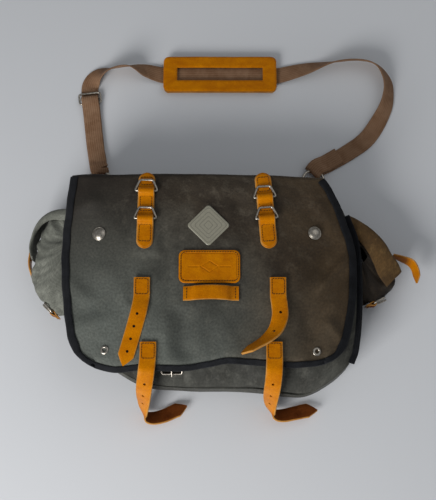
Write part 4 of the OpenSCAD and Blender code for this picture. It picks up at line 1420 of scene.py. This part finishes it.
FRONTS = {"left": (turned(-49, -128, 71.5, 0, 31), 18),
          "right": (turned(116, -116, 78.5, 0, 20), 12)}
for hand, (place, tail) in FRONTS.items():
    buckle(f"front_{hand}", f"front_chape_{hand}", place, FRONT_SIZE, tail)
SIDES = {"left": turned(-213.2, -59.7, 29, 220.3, 90, "Y"),
         "right": turned(223, -47, 29, 118.4, -90, "Y")}
for hand, place in SIDES.items():
    buckle(f"side_{hand}", f"side_chape_{hand}", place, SIDE_SIZE, 11)
DRING_TAB_W = 20
r = 3.3
for hand, x in DRINGS.items():
    keys = [(x, RING_AXIS_Y + y, RING_AXIS_Z + z, *ACROSS) for y, z in (
        (-21, -3.4), (-12, -3.4), (-2, -3.5), (0, -r), (r * 0.75, -r * 0.7), (r, 0),
        (r * 0.75, r * 0.7), (0, r), (-3, 1.6), (-8, -1.2), (-15, -1.6))]
    tab_piece = ribbon(f"dring_tab_{hand}_leather", keys, DRING_TAB_W, TAB_T, rows=70)
    done(tab_piece, hide, body="bag", nodes=[f"dring_tab_{hand}"])
print("tabs and buckles")

# %% [markdown]
# ## Stitching
# The stitches are short six-sided rods 3.4 mm apart along each seam. One is modelled, and all of
# its copies go into one mesh for each body. They have few faces, because there are hundreds.

# %% Stitches
STITCH_STEP, STITCH_L, STITCH_R = 3.4, 2.3, 0.42


def stitches(name, paths, body):
    """One piece with a stitch at each step along the paths."""
    copies = []
    for path in paths:
        count = max(1, round(path_length(path) / STITCH_STEP))
        points = even(path, 2 * count)
        for i in range(count):
            a, b = points[2 * i], points[2 * i + 2]
            copies.append(((a + b) / 2, (b - a).normalized()))
    bpy.ops.object.select_all(action="DESELECT")
    bpy.ops.mesh.primitive_cylinder_add(vertices=6, radius=STITCH_R * MM, depth=STITCH_L * MM)
    seed = bpy.context.object
    verts = [v.co.copy() for v in seed.data.vertices]
    faces = [tuple(f.vertices) for f in seed.data.polygons]
    bpy.data.objects.remove(seed)
    all_verts, all_faces = [], []
    for centre, ahead in copies:
        turn = ahead.to_track_quat("Z", "Y")
        first = len(all_verts)
        all_verts += [turn @ v + centre * MM for v in verts]
        all_faces += [tuple(first + i for i in face) for face in faces]
    mesh = bpy.data.meshes.new(name)
    mesh.from_pydata(all_verts, [], all_faces)
    mesh.uv_layers.new(name="UVMap")
    piece = bpy.data.objects.new(name, mesh)
    bpy.context.collection.objects.link(piece)
    done(piece, thread, body=body)
    return len(copies)


made = sum(stitches(f"stitching_{body}", paths, body) for body, paths in stitch_paths.items())
print(made, "stitches")

# %% [markdown]
# ## Stage
# A pale plain floor, a large soft lamp from the lower left and a weak fill from the other side,
# so the shadows fall up and to the right.

# %% Floor and lights
bpy.ops.object.select_all(action="DESELECT")
bpy.ops.mesh.primitive_plane_add(size=8, location=(0, 0, -0.0002))
floor = bpy.context.object
floor.name = "floor"
paint, tree, shader = new_material("pale_floor", Roughness=0.9)
shader.inputs["Base Color"].default_value = linear(0xC9CACC)
floor.data.materials.append(paint)
# name, place, size and power of each lamp
LAMPS = [("key", (-1.05, -1.5, 1.0), 1.0, 46), ("fill", (1.3, 0.9, 2.2), 2.2, 9)]
for name, spot, size, power in LAMPS:
    bpy.ops.object.light_add(type="AREA", location=spot)
    lamp = bpy.context.object
    lamp.name = name
    lamp.data.size, lamp.data.energy = size, power
    lamp.rotation_mode = "QUATERNION"
    lamp.rotation_quaternion = Vector(spot).to_track_quat("Z", "Y")
world = bpy.data.worlds.new("studio")
bpy.context.scene.world = world
world.use_nodes = True
world.node_tree.nodes["Background"].inputs["Color"].default_value = linear(0xDDE2E8)
world.node_tree.nodes["Background"].inputs["Strength"].default_value = 0.35
bpy.context.scene.view_settings.view_transform = "Standard"
print("lit")
